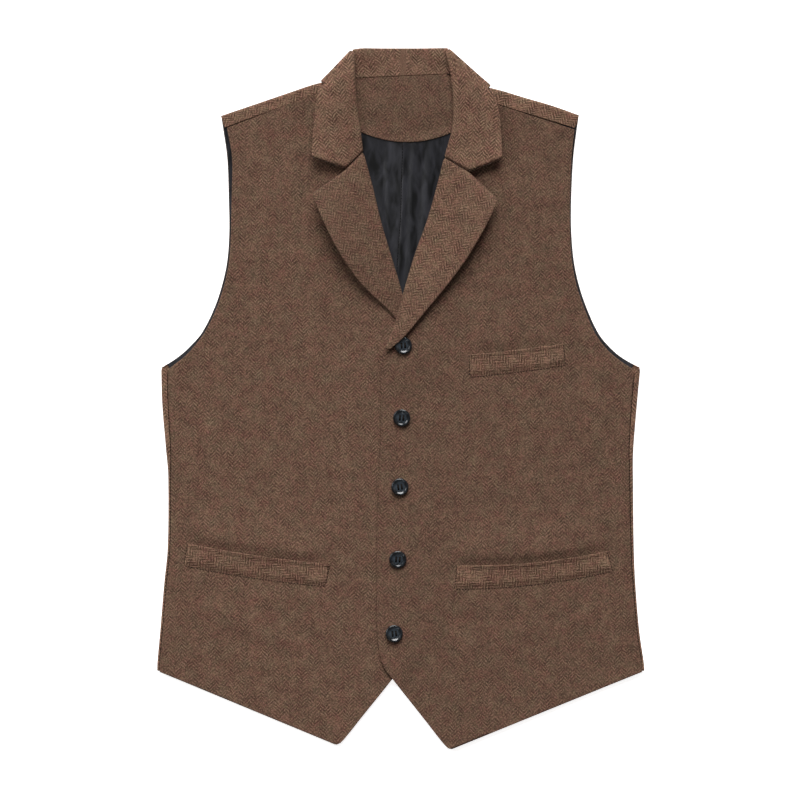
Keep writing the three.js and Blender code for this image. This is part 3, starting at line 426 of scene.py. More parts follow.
def makeTweed():
    # carded yarns give a dull, hairy face: no gloss, a little sheen, every crossing its own shade
    material, tree, shader = newMaterial("woolTweedHerringbone")
    found = {
        "uv": addNode(tree, "ShaderNodeUVMap", {}, uv_map="weave").outputs[0],
        "tone": addNode(tree, "ShaderNodeAttribute", {}, attribute_name="tone").outputs["Fac"],
    }
    addSteps(tree, "ShaderNodeVectorMath", found, [
        ("millimetres", "MULTIPLY", "uv", (1 / uvPerMillimetre,) * 3),
        ("elsewhere", "ADD", "millimetres", (310.0, 70.0, 0.0)),
    ])
    for name, (scale, detail, roughness) in tweed["clouds"].items():
        cloud = addNode(tree, "ShaderNodeTexNoise", {
            "Vector": found["elsewhere" if name == "tint" else "millimetres"],
            "Scale": scale, "Detail": detail, "Roughness": roughness})
        found[name] = cloud.outputs["Color" if name == "drift" else "Fac"]

    # which crossing of warp and weft a point lies on, and where in it
    addSteps(tree, "ShaderNodeVectorMath", found, [
        ("drift", "SUBTRACT", "drift", (0.5, 0.5, 0.5)),
        ("drift", "MULTIPLY", "drift", (tweed["wander"] * 4,) * 3),
        ("yarns", "ADD", "millimetres", "drift"),
        ("counted", "MULTIPLY", "yarns", (1 / tweed["endSpacing"], 1 / tweed["pickSpacing"], 0.0)),
        ("crossing", "FLOOR", "counted"),
        ("crossingHue", "ADD", "crossing", (37.0, 11.0, 0.0)),
        ("within", "FRACTION", "counted"),
    ])
    for vector, first, second in (("counted", "endAt", "pickAt"), ("crossing", "end", "pick"),
                                  ("within", "acrossWarp", "acrossWeft")):
        parts = addNode(tree, "ShaderNodeSeparateXYZ", {0: found[vector]}).outputs
        found[first], found[second] = parts[0], parts[1]
    for name, vector in (("fleck", "crossing"), ("fleckHue", "crossingHue")):
        found[name] = addNode(tree, "ShaderNodeTexWhiteNoise", {"Vector": found[vector]},
                              noise_dimensions="2D").outputs["Value"]

    # the twill climbs one way in one column and the other way, half a step on, in the next
    addSteps(tree, "ShaderNodeMath", found, [
        ("column", "DIVIDE", "end", float(tweed["endsPerColumn"])),
        ("column", "FLOOR", "column"),
        ("parity", "FLOORED_MODULO", "column", 2.0),
        ("turn", "MULTIPLY_ADD", "parity", -2.0, 1.0),
        ("shifted", "MULTIPLY", "turn", "end"),
        ("shifted", "ADD", "shifted", "parity"),
        ("phase", "ADD", "shifted", "pick"),
        ("phase", "FLOORED_MODULO", "phase", 4.0),
        ("warpUp", "LESS_THAN", "phase", 1.5),
        ("alongWarp", "ADD", "shifted", "pickAt"),
        ("alongWarp", "FLOORED_MODULO", "alongWarp", 4.0),
        ("alongWeft", "MULTIPLY_ADD", "turn", "endAt", "pick"),
        ("alongWeft", "MULTIPLY_ADD", "parity", 2.0, "alongWeft"),
        ("alongWeft", "FLOORED_MODULO", "alongWeft", 4.0),
    ])
    for yarn in ("Warp", "Weft"):  # each yarn is highest half way between the two it dives under
        addSteps(tree, "ShaderNodeMath", found, [
            ("over", "MULTIPLY", "along" + yarn, math.pi / 2),
            ("over", "SINE", "over"),
            ("over", "ABSOLUTE", "over"),
            ("round", "MULTIPLY", "across" + yarn, math.pi),
            ("round", "SINE", "round"),
            ("crown" + yarn, "MULTIPLY", "round", "over"),
        ])
    found["crown"] = addNode(tree, "ShaderNodeMix", {
        0: found["warpUp"], 2: found["crownWeft"], 3: found["crownWarp"]}, data_type="FLOAT").outputs[0]

    # the nap hides the weave more in some places than in others
    found["clarity"] = addNode(tree, "ShaderNodeMapRange", {
        0: found["nap"], 1: tweed["napRange"][0], 2: tweed["napRange"][1],
        3: tweed["clarity"][0], 4: tweed["clarity"][1]}).outputs[0]
    found["shade"] = 1.0
    shading = []
    for name, (change, least) in tweed["shading"].items():
        shading += [("part", "MULTIPLY_ADD", name, change, least), ("shade", "MULTIPLY", "shade", "part")]
    addSteps(tree, "ShaderNodeMath", found, [
        ("crown", "POWER", "crown", tweed["crownPower"]),
        ("part", "MULTIPLY_ADD", "tone", 0.7, 0.65),
        ("clarity", "MULTIPLY", "clarity", "part"),
        ("warpShare", "SUBTRACT", "warpUp", 0.5),
        ("warpShare", "MULTIPLY_ADD", "warpShare", "clarity", 0.5),
        *shading,
        ("hue", "MULTIPLY_ADD", "tint", 0.07, 0.45),
        ("hue", "MULTIPLY_ADD", "fleckHue", 0.03, "hue"),
        ("saturation", "MULTIPLY_ADD", "tint", -0.3, 1.15),
        # the hollows between the yarns are painted darker towards the hollow shade colour: painted shade
        ("hollow", "SUBTRACT", "crown", 1.0),
        ("part", "MULTIPLY", "clarity", 0.55),
        ("hollow", "MULTIPLY_ADD", "hollow", "part", 1.0),
        ("relief", "ADD", "clarity", 0.2),
        ("relief", "MULTIPLY", "crown", "relief"),
        ("relief", "MULTIPLY_ADD", "fibre", 0.9, "relief"),
    ])
    yarnColour = addNode(tree, "ShaderNodeMix", {
        0: found["warpShare"], 6: linear(tweed["weft"]), 7: linear(tweed["warp"])}, data_type="RGBA")
    tinted = addNode(tree, "ShaderNodeHueSaturation", {
        "Hue": found["hue"], "Saturation": found["saturation"], "Value": found["shade"],
        "Color": yarnColour.outputs[2]})
    colour = addNode(tree, "ShaderNodeMix", {
        0: found["hollow"], 6: linear(tweed["hollowShade"]), 7: tinted.outputs[0]}, data_type="RGBA")
    bump = addNode(tree, "ShaderNodeBump", {
        "Height": found["relief"], "Distance": tweed["bump"] * millimetre, "Strength": 0.5})
    setInputs(tree, shader, {
        "Base Color": colour.outputs[2], "Normal": bump.outputs[0], "Roughness": 0.92, "IOR": 1.45,
        "Specular IOR Level": 0.25, "Sheen Weight": 0.1, "Sheen Roughness": 0.5,
        "Sheen Tint": linear("#B79C86")})
    return material


# acetate satin: filament yarns in long floats, so it is smooth, dark and softly glossy along the grain
satin = {
    # crease is a near-black colour that the stretched streaks mix in: painted shade and sheen of the satin's
    # soft folds
    "body": "#2E2E33", "crease": "#030304", "roughness": 0.36,
    "rib": 0.45,  # mm, coarser than the real one so that it shows
}


def makeSatin():
    material, tree, shader = newMaterial("acetateSatinLining")
    uv = addNode(tree, "ShaderNodeUVMap", {}, uv_map="weave").outputs[0]
    millimetres = addNode(tree, "ShaderNodeVectorMath", {0: uv, 1: (1 / uvPerMillimetre,) * 3},
                          operation="MULTIPLY").outputs[0]
    stretched = addNode(tree, "ShaderNodeMapping", {
        "Vector": millimetres, "Scale": (1.0, 0.3, 1.0)}).outputs[0]
    # long streaks along the grain between the body colour and near-black: painted sheen and shade, not the
    # satin's own colour
    cloud = addNode(tree, "ShaderNodeTexNoise", {
        "Vector": stretched, "Scale": 0.13, "Detail": 4.0, "Distortion": 0.8}).outputs["Fac"]
    cloud = addNode(tree, "ShaderNodeMapRange", {0: cloud, 1: 0.3, 2: 0.7}).outputs[0]
    ribs = addNode(tree, "ShaderNodeTexWave", {
        "Vector": millimetres, "Scale": 1 / (satin["rib"] * waveScale), "Distortion": 0.6,
    }, bands_direction="DIAGONAL").outputs["Fac"]
    colour = addNode(tree, "ShaderNodeMix", {0: cloud, 6: linear(satin["crease"]), 7: linear(satin["body"])},
                     data_type="RGBA").outputs[2]
    bump = addNode(tree, "ShaderNodeBump", {"Height": ribs, "Distance": 0.03 * millimetre, "Strength": 0.5})
    setInputs(tree, shader, {
        "Base Color": colour, "Normal": bump.outputs[0], "Roughness": satin["roughness"], "IOR": 1.47,
        "Anisotropic": 0.5})
    return material


# polyester resin, turned and tumbled to a high gloss: near black with cloudy slate streaks
resin = {"dark": "#0F1012", "slate": "#353C43", "roughness": 0.18}


def makeResin():
    material, tree, shader = newMaterial("polyesterResinButton")
    place = addNode(tree, "ShaderNodeTexCoord", {}).outputs["Object"]
    cloud = addNode(tree, "ShaderNodeTexNoise", {"Vector": place, "Scale": 160.0, "Detail": 3.0,
                                                 "Distortion": 1.5}).outputs["Fac"]
    # the rim is darker than the dished middle
    outward = addNode(tree, "ShaderNodeVectorMath", {0: place}, operation="LENGTH").outputs["Value"]
    middle = addNode(tree, "ShaderNodeMapRange", {
        0: outward, 1: 0.003, 2: 0.0075, 3: 0.2, 4: -0.12}).outputs[0]
    cloud = addNode(tree, "ShaderNodeMath", {0: cloud, 1: middle}, operation="ADD").outputs[0]
    ramp = addNode(tree, "ShaderNodeValToRGB", {0: cloud})
    for stop, position, tone in zip(ramp.color_ramp.elements, (0.38, 0.72), ("dark", "slate")):
        stop.position, stop.color = position, linear(resin[tone])
    setInputs(tree, shader, {"Base Color": ramp.outputs[0], "Roughness": resin["roughness"], "IOR": 1.55})
    return material


# spun polyester sewing thread: two plies that twist round each other, a little fluffy
threadLook = {"colour": "#0E0C0B", "pale": "#1F1A17", "twist": 0.55}


def makeThread():
    material, tree, shader = newMaterial("spunPolyesterThread")
    place = addNode(tree, "ShaderNodeTexCoord", {}).outputs["Object"]
    plies = addNode(tree, "ShaderNodeTexWave", {
        "Vector": place, "Scale": 1 / (threadLook["twist"] * millimetre * waveScale), "Distortion": 1.0,
    }, bands_direction="DIAGONAL").outputs["Fac"]
    colour = addNode(tree, "ShaderNodeMix", {
        0: plies, 6: linear(threadLook["colour"]), 7: linear(threadLook["pale"]),
    }, data_type="RGBA").outputs[2]
    bump = addNode(tree, "ShaderNodeBump", {"Height": plies, "Distance": 0.05 * millimetre})
    setInputs(tree, shader, {
        "Base Color": colour, "Normal": bump.outputs[0], "Roughness": 0.8, "Specular IOR Level": 0.1})
    return material


tweedCloth, satinCloth, buttonResin, sewingThread = makeTweed(), makeSatin(), makeResin(), makeThread()
print("materials made")

# lapels from the gorge to the break, x counted outward: roll is the folded inner edge, seam how far in
# from it the front begins, half the fold's half height, bow and edge how the leaf arches and stands
# the lapels' tones are painted light: the right lapel is made lighter than the left where it faces the light
lapelShapes = {
    "left": {
        "rollX": [37.8, 29.0, 20.2, 10.4, 0.0, -13.0], "rollY": [246.6, 214.5, 178, 144.5, 108.5, 55],
        "edgeX": [89.3, 76.0, 60.2, 37.8, 8.0, -9.0], "edgeY": [204.2, 173.5, 143, 112.2, 83.0, 53],
        "seam": [9, 9, 9, 9, 8, 5], "half": [1.7, 1.8, 1.8, 1.7, 1.4, 1.25],
        "bow": [0.5, 0.9, 0.8, 0.5, 0.2, 0], "edge": [14.5, 17.5, 16.5, 9.5, 2.5, 2.5], "tone": 0.5,
        "notch": (55.3, 228.5), "notchShare": 0.34, "notchFade": 1.0,
    },
    "right": {
        "rollX": [43.0, 35.7, 26.5, 13.2, 0.4, -7.4, -16.4],
        "rollY": [240.9, 212, 179.5, 142.5, 99.5, 71.5, 49.5],
        "edgeX": [97.0, 85.6, 65.0, 46.5, 24.0, 4.7, -11.6],
        "edgeY": [198.5, 173.5, 138.5, 113.5, 86.2, 63.0, 48.4],
        "seam": [9, 9, 9, 9, 8.5, 7, 4.4], "half": [1.7, 1.9, 1.9, 1.9, 2.2, 2.7, 2.7],
        "bow": [0.5, 1.0, 1.0, 0.8, 0.3, 0, 0], "edge": [12.5, 13.0, 12.0, 9.6, 7.0, 5.5, 5.5], "tone": 0.78,
        "notch": (68.7, 225.5), "notchShare": 0.46, "notchFade": 1.0,
    },
}

# the collar from the gorge up to where it turns under the back
collarShapes = {
    "left": {
        "rollX": [37.8, 40.2, 42.8, 44.6, 45.6], "rollY": [246.68, 267.5, 286.5, 306.0, 326.0],
        "edgeX": [89.0, 88.4, 87.0, 85.2, 82.4], "edgeY": [240.5, 260.0, 278.0, 294.0, 306.6],
        "seam": [6.5, 9.45, 11.8, 12.1, 13.05], "half": [1.7, 2.2, 2.8, 3.4, 3.4],
        "bow": [0.5, 0.7, 0.6, 0.4, 0.2], "edge": [13.5, 10.0, 8.0, 6.8, 5.0],
        "notch": (55.3, 228.6), "notchShare": 0.36, "notchFade": 1.0,
    },
    "right": {
        "rollX": [43.0, 50.0, 51.8, 51.6, 49.2], "rollY": [240.98, 265.8, 283.0, 303.0, 326.0],
        "edgeX": [101.0, 100.6, 99.6, 97.2, 93.2], "edgeY": [239.5, 257.0, 273.5, 290.0, 303.6],
        "seam": [6.5, 8.45, 10.2, 11.1, 12.45], "half": [1.7, 2.2, 2.4, 2.4, 2.0],
        "bow": [0.5, 0.7, 0.6, 0.4, 0.2], "edge": [12.5, 9.8, 8.0, 6.8, 5.0],
        "notch": (68.7, 225.6), "notchShare": 0.46, "notchFade": 1.0,
    },
}
collarTurn = {
    "left": {"x": 50.3, "y": 349.0, "edgeX": 80.5, "edgeY": 317.5},
    "right": {"x": 48.0, "y": 350.5, "edgeX": 90.0, "edgeY": 313.0},
    "half": 1.45, "stand": 24.0, "standFold": 1.6, "axisZ": 5.5, "topY": 350.5,
    "backReach": (-47.8, 46.6), "topFall": 1.3, "bendShare": 0.42, "seamLift": 0.42, "seamWide": 9.0,
    # at the corners the stand's fold rises to meet the leaf
    "cornerLift": 3.6, "liftFrom": 16.0, "liftWidth": 24.0, "liftY": 326.0, "liftHeight": 20.0,
}


def stationsOf(shape, side, kind, count):
    # one cross-section of a turned-back leaf for each place along its roll
    rows = len(shape["rollX"]) - 1
    at = np.linspace(0, rows, count + 1)
    read = {key: curve(range(rows + 1), shape[key])(at) for key in
            ("rollX", "rollY", "edgeX", "edgeY", "seam", "half", "bow", "edge")}
    sign = signOf[side]
    roll = np.stack([sign * read["rollX"], read["rollY"]], axis=1)
    edge = np.stack([sign * read["edgeX"], read["edgeY"]], axis=1)
    share = shape["notchShare"]
    notch = np.array([sign * shape["notch"][0], shape["notch"][1]])
    offset = notch - (roll[0] + share * (edge[0] - roll[0]))
    fade = np.clip(1 - at / shape["notchFade"], 0, 1) ** 1.5
    middle = roll + share * (edge - roll) + fade[:, None] * offset
    along = middle - roll
    along /= np.linalg.norm(along, axis=1, keepdims=True)
    inset = read["half"] + cloth["collar"] / 2
    under = read["seam"] - inset if kind == "lapel" else read["seam"]
    return {
        "centre": roll + along * inset[:, None], "middle": middle, "edge": edge, "along": along,
        "under": under, "half": read["half"], "bow": read["bow"], "rise": read["edge"],
        "angle": np.zeros(count + 1), "share": np.full(count + 1, share),
    }


def frontSeam(stations):
    reach = stations["under"] + cloth["seamGap"]
    return stations["centre"] + stations["along"] * reach[:, None]


underShares = np.array([1, 0.985, 0.95, 0.9, 0.82, 0.65, 0.4, 0.15, 0.0])
rollAngles = np.linspace(-math.pi / 2, math.pi / 2, 13)[1:]


def leafSurface(side, stations, leafShares):
    # rows run along the roll, columns from the hidden seam round the roll and out to the leaf's edge
    fold = collarTurn["standFold"]
    count = len(stations["half"])
    centre, middle, edge, along = (stations[key][:, None, :] for key in ("centre", "middle", "edge", "along"))
    half = stations["half"][:, None]
    under = centre + along * (stations["under"][:, None] * underShares)[..., None]
    bend = centre - along * (half * np.cos(rollAngles))[..., None]
    share = stations["share"][:, None, None]
    t = leafShares[None, :, None]
    leaf = np.where(t < share, centre + (middle - centre) * t / share,
                    middle + (edge - middle) * (t - share) / (1 - share))
    flatLeaf = leafShares[None, :]
    leafUp = (2 * half + (stations["rise"][:, None] - 2 * half) * flatLeaf ** 1.4
              + 4 * stations["bow"][:, None] * flatLeaf * (1 - flatLeaf))
    radius = np.concatenate([
        np.full((count, len(underShares)), fold),
        fold + half + half * np.sin(rollAngles)[None, :],
        fold + leafUp,
    ], axis=1)
    plan = np.concatenate([under, bend, leaf], axis=1)
    normal = np.stack([-along[..., 1], along[..., 0]], axis=-1)
    normal = np.where(normal[..., 1:] < 0, -normal, normal)
    angle = stations["angle"][:, None]
    plan = plan + normal * (np.sin(angle) * radius)[..., None]
    base = np.where(angle < 1e-5, frontHeight(side, plan[..., 0], plan[..., 1]) - fold, collarTurn["axisZ"])
    return np.concatenate([plan, (base + np.cos(angle) * radius)[..., None]], axis=-1)


def gorgeColumns(shape, leafShares):
    return len(underShares) + len(rollAngles) + int(np.sum(leafShares < shape["notchShare"]))


def foldedUv(grid):
    # as seen from above, plus what a fold hides, so that the weave keeps its size round each roll
    plan = grid[..., :2]
    across = np.linalg.norm(np.diff(grid, axis=1), axis=2) - np.linalg.norm(np.diff(plan, axis=1), axis=2)
    across = np.pad(np.cumsum(across[:, ::-1], axis=1)[:, ::-1], [(0, 0), (0, 1)])
    down = np.linalg.norm(np.diff(grid, axis=0), axis=2) - np.linalg.norm(np.diff(plan, axis=0), axis=2)
    down = np.pad(np.cumsum(down, axis=0), [(1, 0), (0, 0)])
    outward = plan[:, -1] - plan[:, len(underShares) + len(rollAngles)]
    outward = (outward / np.linalg.norm(outward, axis=1, keepdims=True))[:, None, :]
    sideways = np.stack([-outward[..., 1], outward[..., 0]], axis=-1)
    return plan - outward * across[..., None] + sideways * down[..., None]


def frontRowTable(side):
    edge = frontEdges[side]
    lapelSeam = frontSeam(stationsOf(lapelShapes[side], side, "lapel", 10))[::-1]
    collarSeam = frontSeam(stationsOf(collarShapes[side], side, "collar", 8))[1:]
    topX = shoulderLines["startX"] - 4
    top = shoulderSeamY(side, topX) - cloth["seamGap"] / 2
    collarSeam = collarSeam[collarSeam[:, 1] < top - 3]
    inner = np.concatenate([lapelSeam, collarSeam, [[signOf[side] * topX, top]]])
    tipX = armhole[side](271.0) - armInset[side](271.0)
    tipY = shoulderSeamY(side, tipX) - cloth["seamGap"] / 2
    share = ((inner[:, 1] - edge["y"][-1]) / (top - edge["y"][-1])) ** 1.5
    outerY = cloth["underarmY"] + share * (tipY - cloth["underarmY"])
    return (np.concatenate([edge["sideY"], outerY]), np.concatenate([edge["x"], inner[:, 0]]),
            np.concatenate([edge["y"], inner[:, 1]]))


def frontOuter(side, y):
    seam = sideFold[side](y) - sideSeam[side](y) - cloth["foldSeamGap"] / 2
    top = cloth["underarmY"]
    seamTop = sideFold[side](top) - sideSeam[side](top) - cloth["foldSeamGap"] / 2
    hole = armhole[side](y) - armInset[side](y)
    return np.where(y <= top, seam, seamTop + (hole - seamTop) * smooth((y - top) / 5))


def frontGrid(side):
    sideY, innerX, innerY = frontRowTable(side)
    rows = np.arange(len(sideY))
    lengths = np.hypot(np.diff(innerX), np.diff(innerY)).cumsum()
    places = np.interp(spread(lengths[-1], 3.6) * lengths[-1], np.pad(lengths, (1, 0)), rows)
    y = curve(rows, sideY)(places)
    outer = np.stack([signOf[side] * frontOuter(side, y), y], axis=1)
    inner = np.stack([curve(rows, innerX)(places), curve(rows, innerY)(places)], axis=1)
    shares = spread(225.0, 3.8)[None, :, None]
    plan = outer[:, None, :] * (1 - shares) + inner[:, None, :] * shares
    height = frontHeight(side, plan[..., 0], plan[..., 1])
    return np.concatenate([plan, height[..., None]], axis=-1)


def upward(grid, uv):  # turns a grid over if its outer face would look down
    middle = normalsOf(grid)[grid.shape[0] // 2, grid.shape[1] // 2]
    return (grid, uv) if middle[2] > 0 else (grid[:, ::-1], uv[:, ::-1])


# what each piece was cut to, in metres and square metres, measured along its middle surface as far as
# it shows, and what it lies on
cuts = {
    "back": {"flat": (0.494, 0.600), "area": 0.2508, "held": "laid", "on": ["collar"]},
    "back_lining_left": {"flat": (0.239, 0.538), "area": 0.1095, "held": "laid", "on": ["back"]},
    "back_lining_right": {"flat": (0.239, 0.532), "area": 0.1105, "held": "laid", "on": ["back"]},
    "back_neck_facing": {"flat": (0.124, 0.068), "area": 0.0072, "held": "laid", "on": ["back"]},
    "front_left": {"flat": (0.261, 0.656), "area": 0.1259, "held": "laid",
                   "on": ["back", "back_lining_left"]},
    "front_right": {"flat": (0.265, 0.652), "area": 0.1261, "held": "laid",
                    "on": ["back", "back_lining_right"]},
    "lapel_left": {"flat": (0.077, 0.198), "area": 0.0087, "held": "folded", "on": ["front_left"]},
    "lapel_right": {"flat": (0.079, 0.201), "area": 0.0097, "held": "folded", "on": ["front_right"]},
    "collar": {"flat": (0.082, 0.358), "area": 0.0218, "held": "folded", "on": ["front_left", "front_right"]},
    "welt_chest": {"flat": (0.096, 0.023), "area": 0.0021, "held": "laid", "on": ["front_right"]},
    "welt_left": {"flat": (0.1443, 0.0232), "area": 0.0033, "held": "laid", "on": ["front_left"]},
    "welt_right": {"flat": (0.1587, 0.0243), "area": 0.0035, "held": "laid", "on": ["front_right"]},
}


def dress(piece, slot, *cadNodes):
    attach(piece, "root")
    if cadNodes:
        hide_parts(*cadNodes)
    return piece


def layCloth(piece, slot, cadNode):
    dress(piece, slot, cadNode)
    cut = cuts[cadNode]
    surface = sum(face.area for face in piece.data.polygons) / 2
    width, length = cut["flat"]
    print(f"{cadNode}: cut {width:.3f} x {length:.3f} m, {cut['area']:.4f} m2, lies as {surface:.4f} m2")


for side in ("left", "right"):
    grid = frontGrid(side)
    grid, uv = upward(grid, grid[..., :2].copy())
    piece = clothShell(f"front{side.capitalize()}Cloth", grid, cloth["front"], uv, tweedCloth,
                       seams=("lastRow", "firstColumn" if side == "left" else "lastColumn"),
                       tone=frontEdges[side]["tone"])
    layCloth(piece, "tweed", f"front_{side}")
print("fronts cut")

grainTurn = {"lapel": 36.0, "collar": 8.0, "welt": 45.0}

for side in ("left", "right"):
    stations = stationsOf(lapelShapes[side], side, "lapel", 64)
    leafLines = spread(54.0, 2.6)[1:]
    grid = leafSurface(side, stations, leafLines)
    sign = signOf[side]
    tip = grid[0, -1, :2].copy()
    size = 3.0 if side == "left" else 5.0
    grid = roundCorner(grid, tip, grid[0, -8, :2], grid[8, -1, :2], size)
    uv = turnedUv(foldedUv(grid), -sign * grainTurn["lapel"])
    if side == "right":
        grid, uv = grid[::-1], uv[::-1]
    gorge = {"lastRow" if side == "right" else "firstRow": gorgeColumns(lapelShapes[side], leafLines)}
    piece = clothShell(f"lapel{side.capitalize()}Cloth", grid, cloth["collar"], uv, tweedCloth,
                       seams=("firstColumn",), gorge=gorge, hem=(8.0, 0.2), tone=lapelShapes[side]["tone"])
    layCloth(piece, "tweed", f"lapel_{side}")
print("lapels turned back")


def turnStations(side, count):
    sign, turn, half = signOf[side], collarTurn[side], collarTurn["half"]
    start = np.array([sign * turn["x"], turn["y"]])
    end = np.array([sign * turn["edgeX"], turn["edgeY"]])
    length = np.linalg.norm(end - start)
    along = (end - start) / length
    normal = np.array([-along[1], along[0]])
    normal = -normal if normal[1] < 0 else normal
    inset = half + cloth["collar"] / 2
    centre = start - normal * (collarTurn["standFold"] + 2 * half + cloth["collar"] / 2) + along * inset
    edge = centre + along * (length - inset)
    angles = np.maximum(np.linspace(0, math.pi, count + 1), 2e-5)
    every = np.ones((count + 1, 1))
    share = collarTurn["bendShare"]
    return {
        "centre": centre * every, "middle": (centre + share * (edge - centre)) * every, "edge": edge * every,
        "along": along * every, "under": np.full(count + 1, collarTurn["stand"]),
        "half": np.full(count + 1, half), "bow": np.zeros(count + 1),
        "rise": np.full(count + 1, 2 * half), "angle": angles,
        "share": np.full(count + 1, share),
    }


def neckSeam(x):
    return neckLines["seamY"] + neckLines["seamTilt"] * x


def backStations(count):
    half = collarTurn["half"]
    x = np.linspace(*collarTurn["backReach"], count + 1)
    top = collarTurn["topY"] - half - cloth["collar"] / 2 - collarTurn["topFall"] * smooth((-x - 39) / 9)
    centre, edge = np.stack([x, top], axis=1), np.stack([x, fallEdge(x)], axis=1)
    share = collarTurn["bendShare"]
    return {
        "centre": centre, "middle": centre + share * (edge - centre), "edge": edge,
        "along": np.tile([0.0, -1.0], (count + 1, 1)), "under": top - neckSeam(x) - cloth["neckGap"] / 2,
        "half": np.full(count + 1, half), "bow": np.zeros(count + 1), "rise": np.full(count + 1, 2 * half),
        "angle": np.full(count + 1, math.pi), "share": np.full(count + 1, share),
    }


def between(first, second, count):
    # stations that pass evenly from the last one of a run to the first one of the next
    t = np.linspace(0, 1, count + 2)[1:-1]
    made = {}
    for key in first:
        a, b = first[key][-1], second[key][0]
        made[key] = np.array([a * (1 - s) + b * s for s in t])
    made["along"] /= np.linalg.norm(made["along"], axis=1, keepdims=True)
    return made


def reverseRun(run):
    return {key: values[::-1] for key, values in run.items()}


leafLines = spread(48.0, 2.6)[1:]
frontRuns = {s: stationsOf(collarShapes[s], s, "collar", 40) for s in ("left", "right")}
turnRuns = {s: turnStations(s, 16) for s in ("left", "right")}
backRun = backStations(16)
rightFront, rightTurn = reverseRun(frontRuns["right"]), reverseRun(turnRuns["right"])
surfaces = [
    leafSurface("left", frontRuns["left"], leafLines),
    leafSurface("left", between(frontRuns["left"], turnRuns["left"], 8), leafLines),
    leafSurface("left", turnRuns["left"], leafLines),
    leafSurface("left", between(turnRuns["left"], backRun, 5), leafLines),
    leafSurface("left", backRun, leafLines),
    leafSurface("right", between(backRun, rightTurn, 5), leafLines),
    leafSurface("right", rightTurn, leafLines),
    leafSurface("right", between(rightTurn, rightFront, 8), leafLines),
    leafSurface("right", rightFront, leafLines),
]
for k, weights in ((3, np.linspace(0.15, 1, 5)), (4, np.ones(17)), (5, np.linspace(1, 0.15, 5))):
    x, y = surfaces[k][..., 0], surfaces[k][..., 1]
    lift = collarTurn["cornerLift"] * smooth((np.abs(x) - collarTurn["liftFrom"]) / collarTurn["liftWidth"])
    lift = lift * smooth((y - collarTurn["liftY"]) / collarTurn["liftHeight"]) * weights[:, None]
    surfaces[k][..., 2] += lift
    stand = slice(0, len(underShares))
    toSeam = y[:, stand] - neckSeam(x[:, stand])
    seamRise = collarTurn["seamLift"] * (1 - smooth(toSeam / collarTurn["seamWide"]))
    surfaces[k][:, stand, 2] += seamRise * weights[:, None]
grid = np.concatenate(surfaces)
for row, step, size in ((0, 1, 3.0), (-1, -1, 3.5)):
    corner = grid[row, -1, :2].copy()
    grid = roundCorner(grid, corner, grid[row, -8, :2].copy(), grid[row + 10 * step, -1, :2].copy(), size)
unfolded = foldedUv(grid)
uv = np.where(grid[..., :1] > 0, turnedUv(unfolded, -grainTurn["collar"]),
              turnedUv(unfolded, grainTurn["collar"]))
gorge = {"firstRow": gorgeColumns(collarShapes["left"], leafLines),
         "lastRow": gorgeColumns(collarShapes["right"], leafLines)}
# the collar's high tone is partly painted light, making it lighter where the light falls on it
collarPiece = clothShell("collarCloth", grid, cloth["collar"], uv, tweedCloth, seams=("firstColumn",),
                         gorge=gorge, hem=(8.0, 0.2), tone=1.1)
layCloth(collarPiece, "tweed", "collar")
print("collar turned over")


def bendOver(distance, radius):
    angle = np.clip(distance / radius, 0, math.pi)
    past = np.maximum(distance - radius * math.pi, 0)
    along = np.where(distance <= 0, distance, radius * np.sin(angle) - past)
    return along, radius * (1 - np.cos(angle))


def sideReach(side, y):
    fold = sideFold[side](y)
    axis = fold - cloth["back"] / 2 - cloth["sideFold"]
    seamX = fold - sideSeam[side](y) + cloth["foldSeamGap"] / 2
    sine = np.clip((seamX - axis) / cloth["sideFold"], 0, 1)
    return axis, axis + cloth["sideFold"] * (math.pi - np.arcsin(sine)) + np.maximum(axis - seamX, 0)


def backPoint(side, out, y, axis=None, beyond=None):
    # a point of the flat-cut back, bent round the side fold or the shoulder fold
    x, placeY, up = out + 0 * y, y + 0 * out, 0 * y
    flat = np.stack([signOf[side] * x, placeY], axis=-1)
    if axis is not None:
        along, up = bendOver(out - axis, cloth["sideFold"])
        x = axis + along
    if beyond is not None:
        start = -(cloth["back"] / 2 + cloth["shoulderFold"])
        along, up = bendOver(beyond - start, cloth["shoulderFold"])
        shift = start + along - beyond
        x = x + math.sin(shoulderLines["slope"]) * shift
        placeY = placeY + math.cos(shoulderLines["slope"]) * shift
    x = signOf[side] * x
    return np.stack([x, placeY, backHeight(x, placeY) + up], axis=-1), flat


def neckTop(x):
    reach, far = neckLines["reach"], neckLines["facingReach"]
    past = np.maximum(np.abs(x) - reach, 0) / (far - reach)
    return neckSeam(x) - cloth["neckGap"] / 2 - neckLines["endDrop"] * past


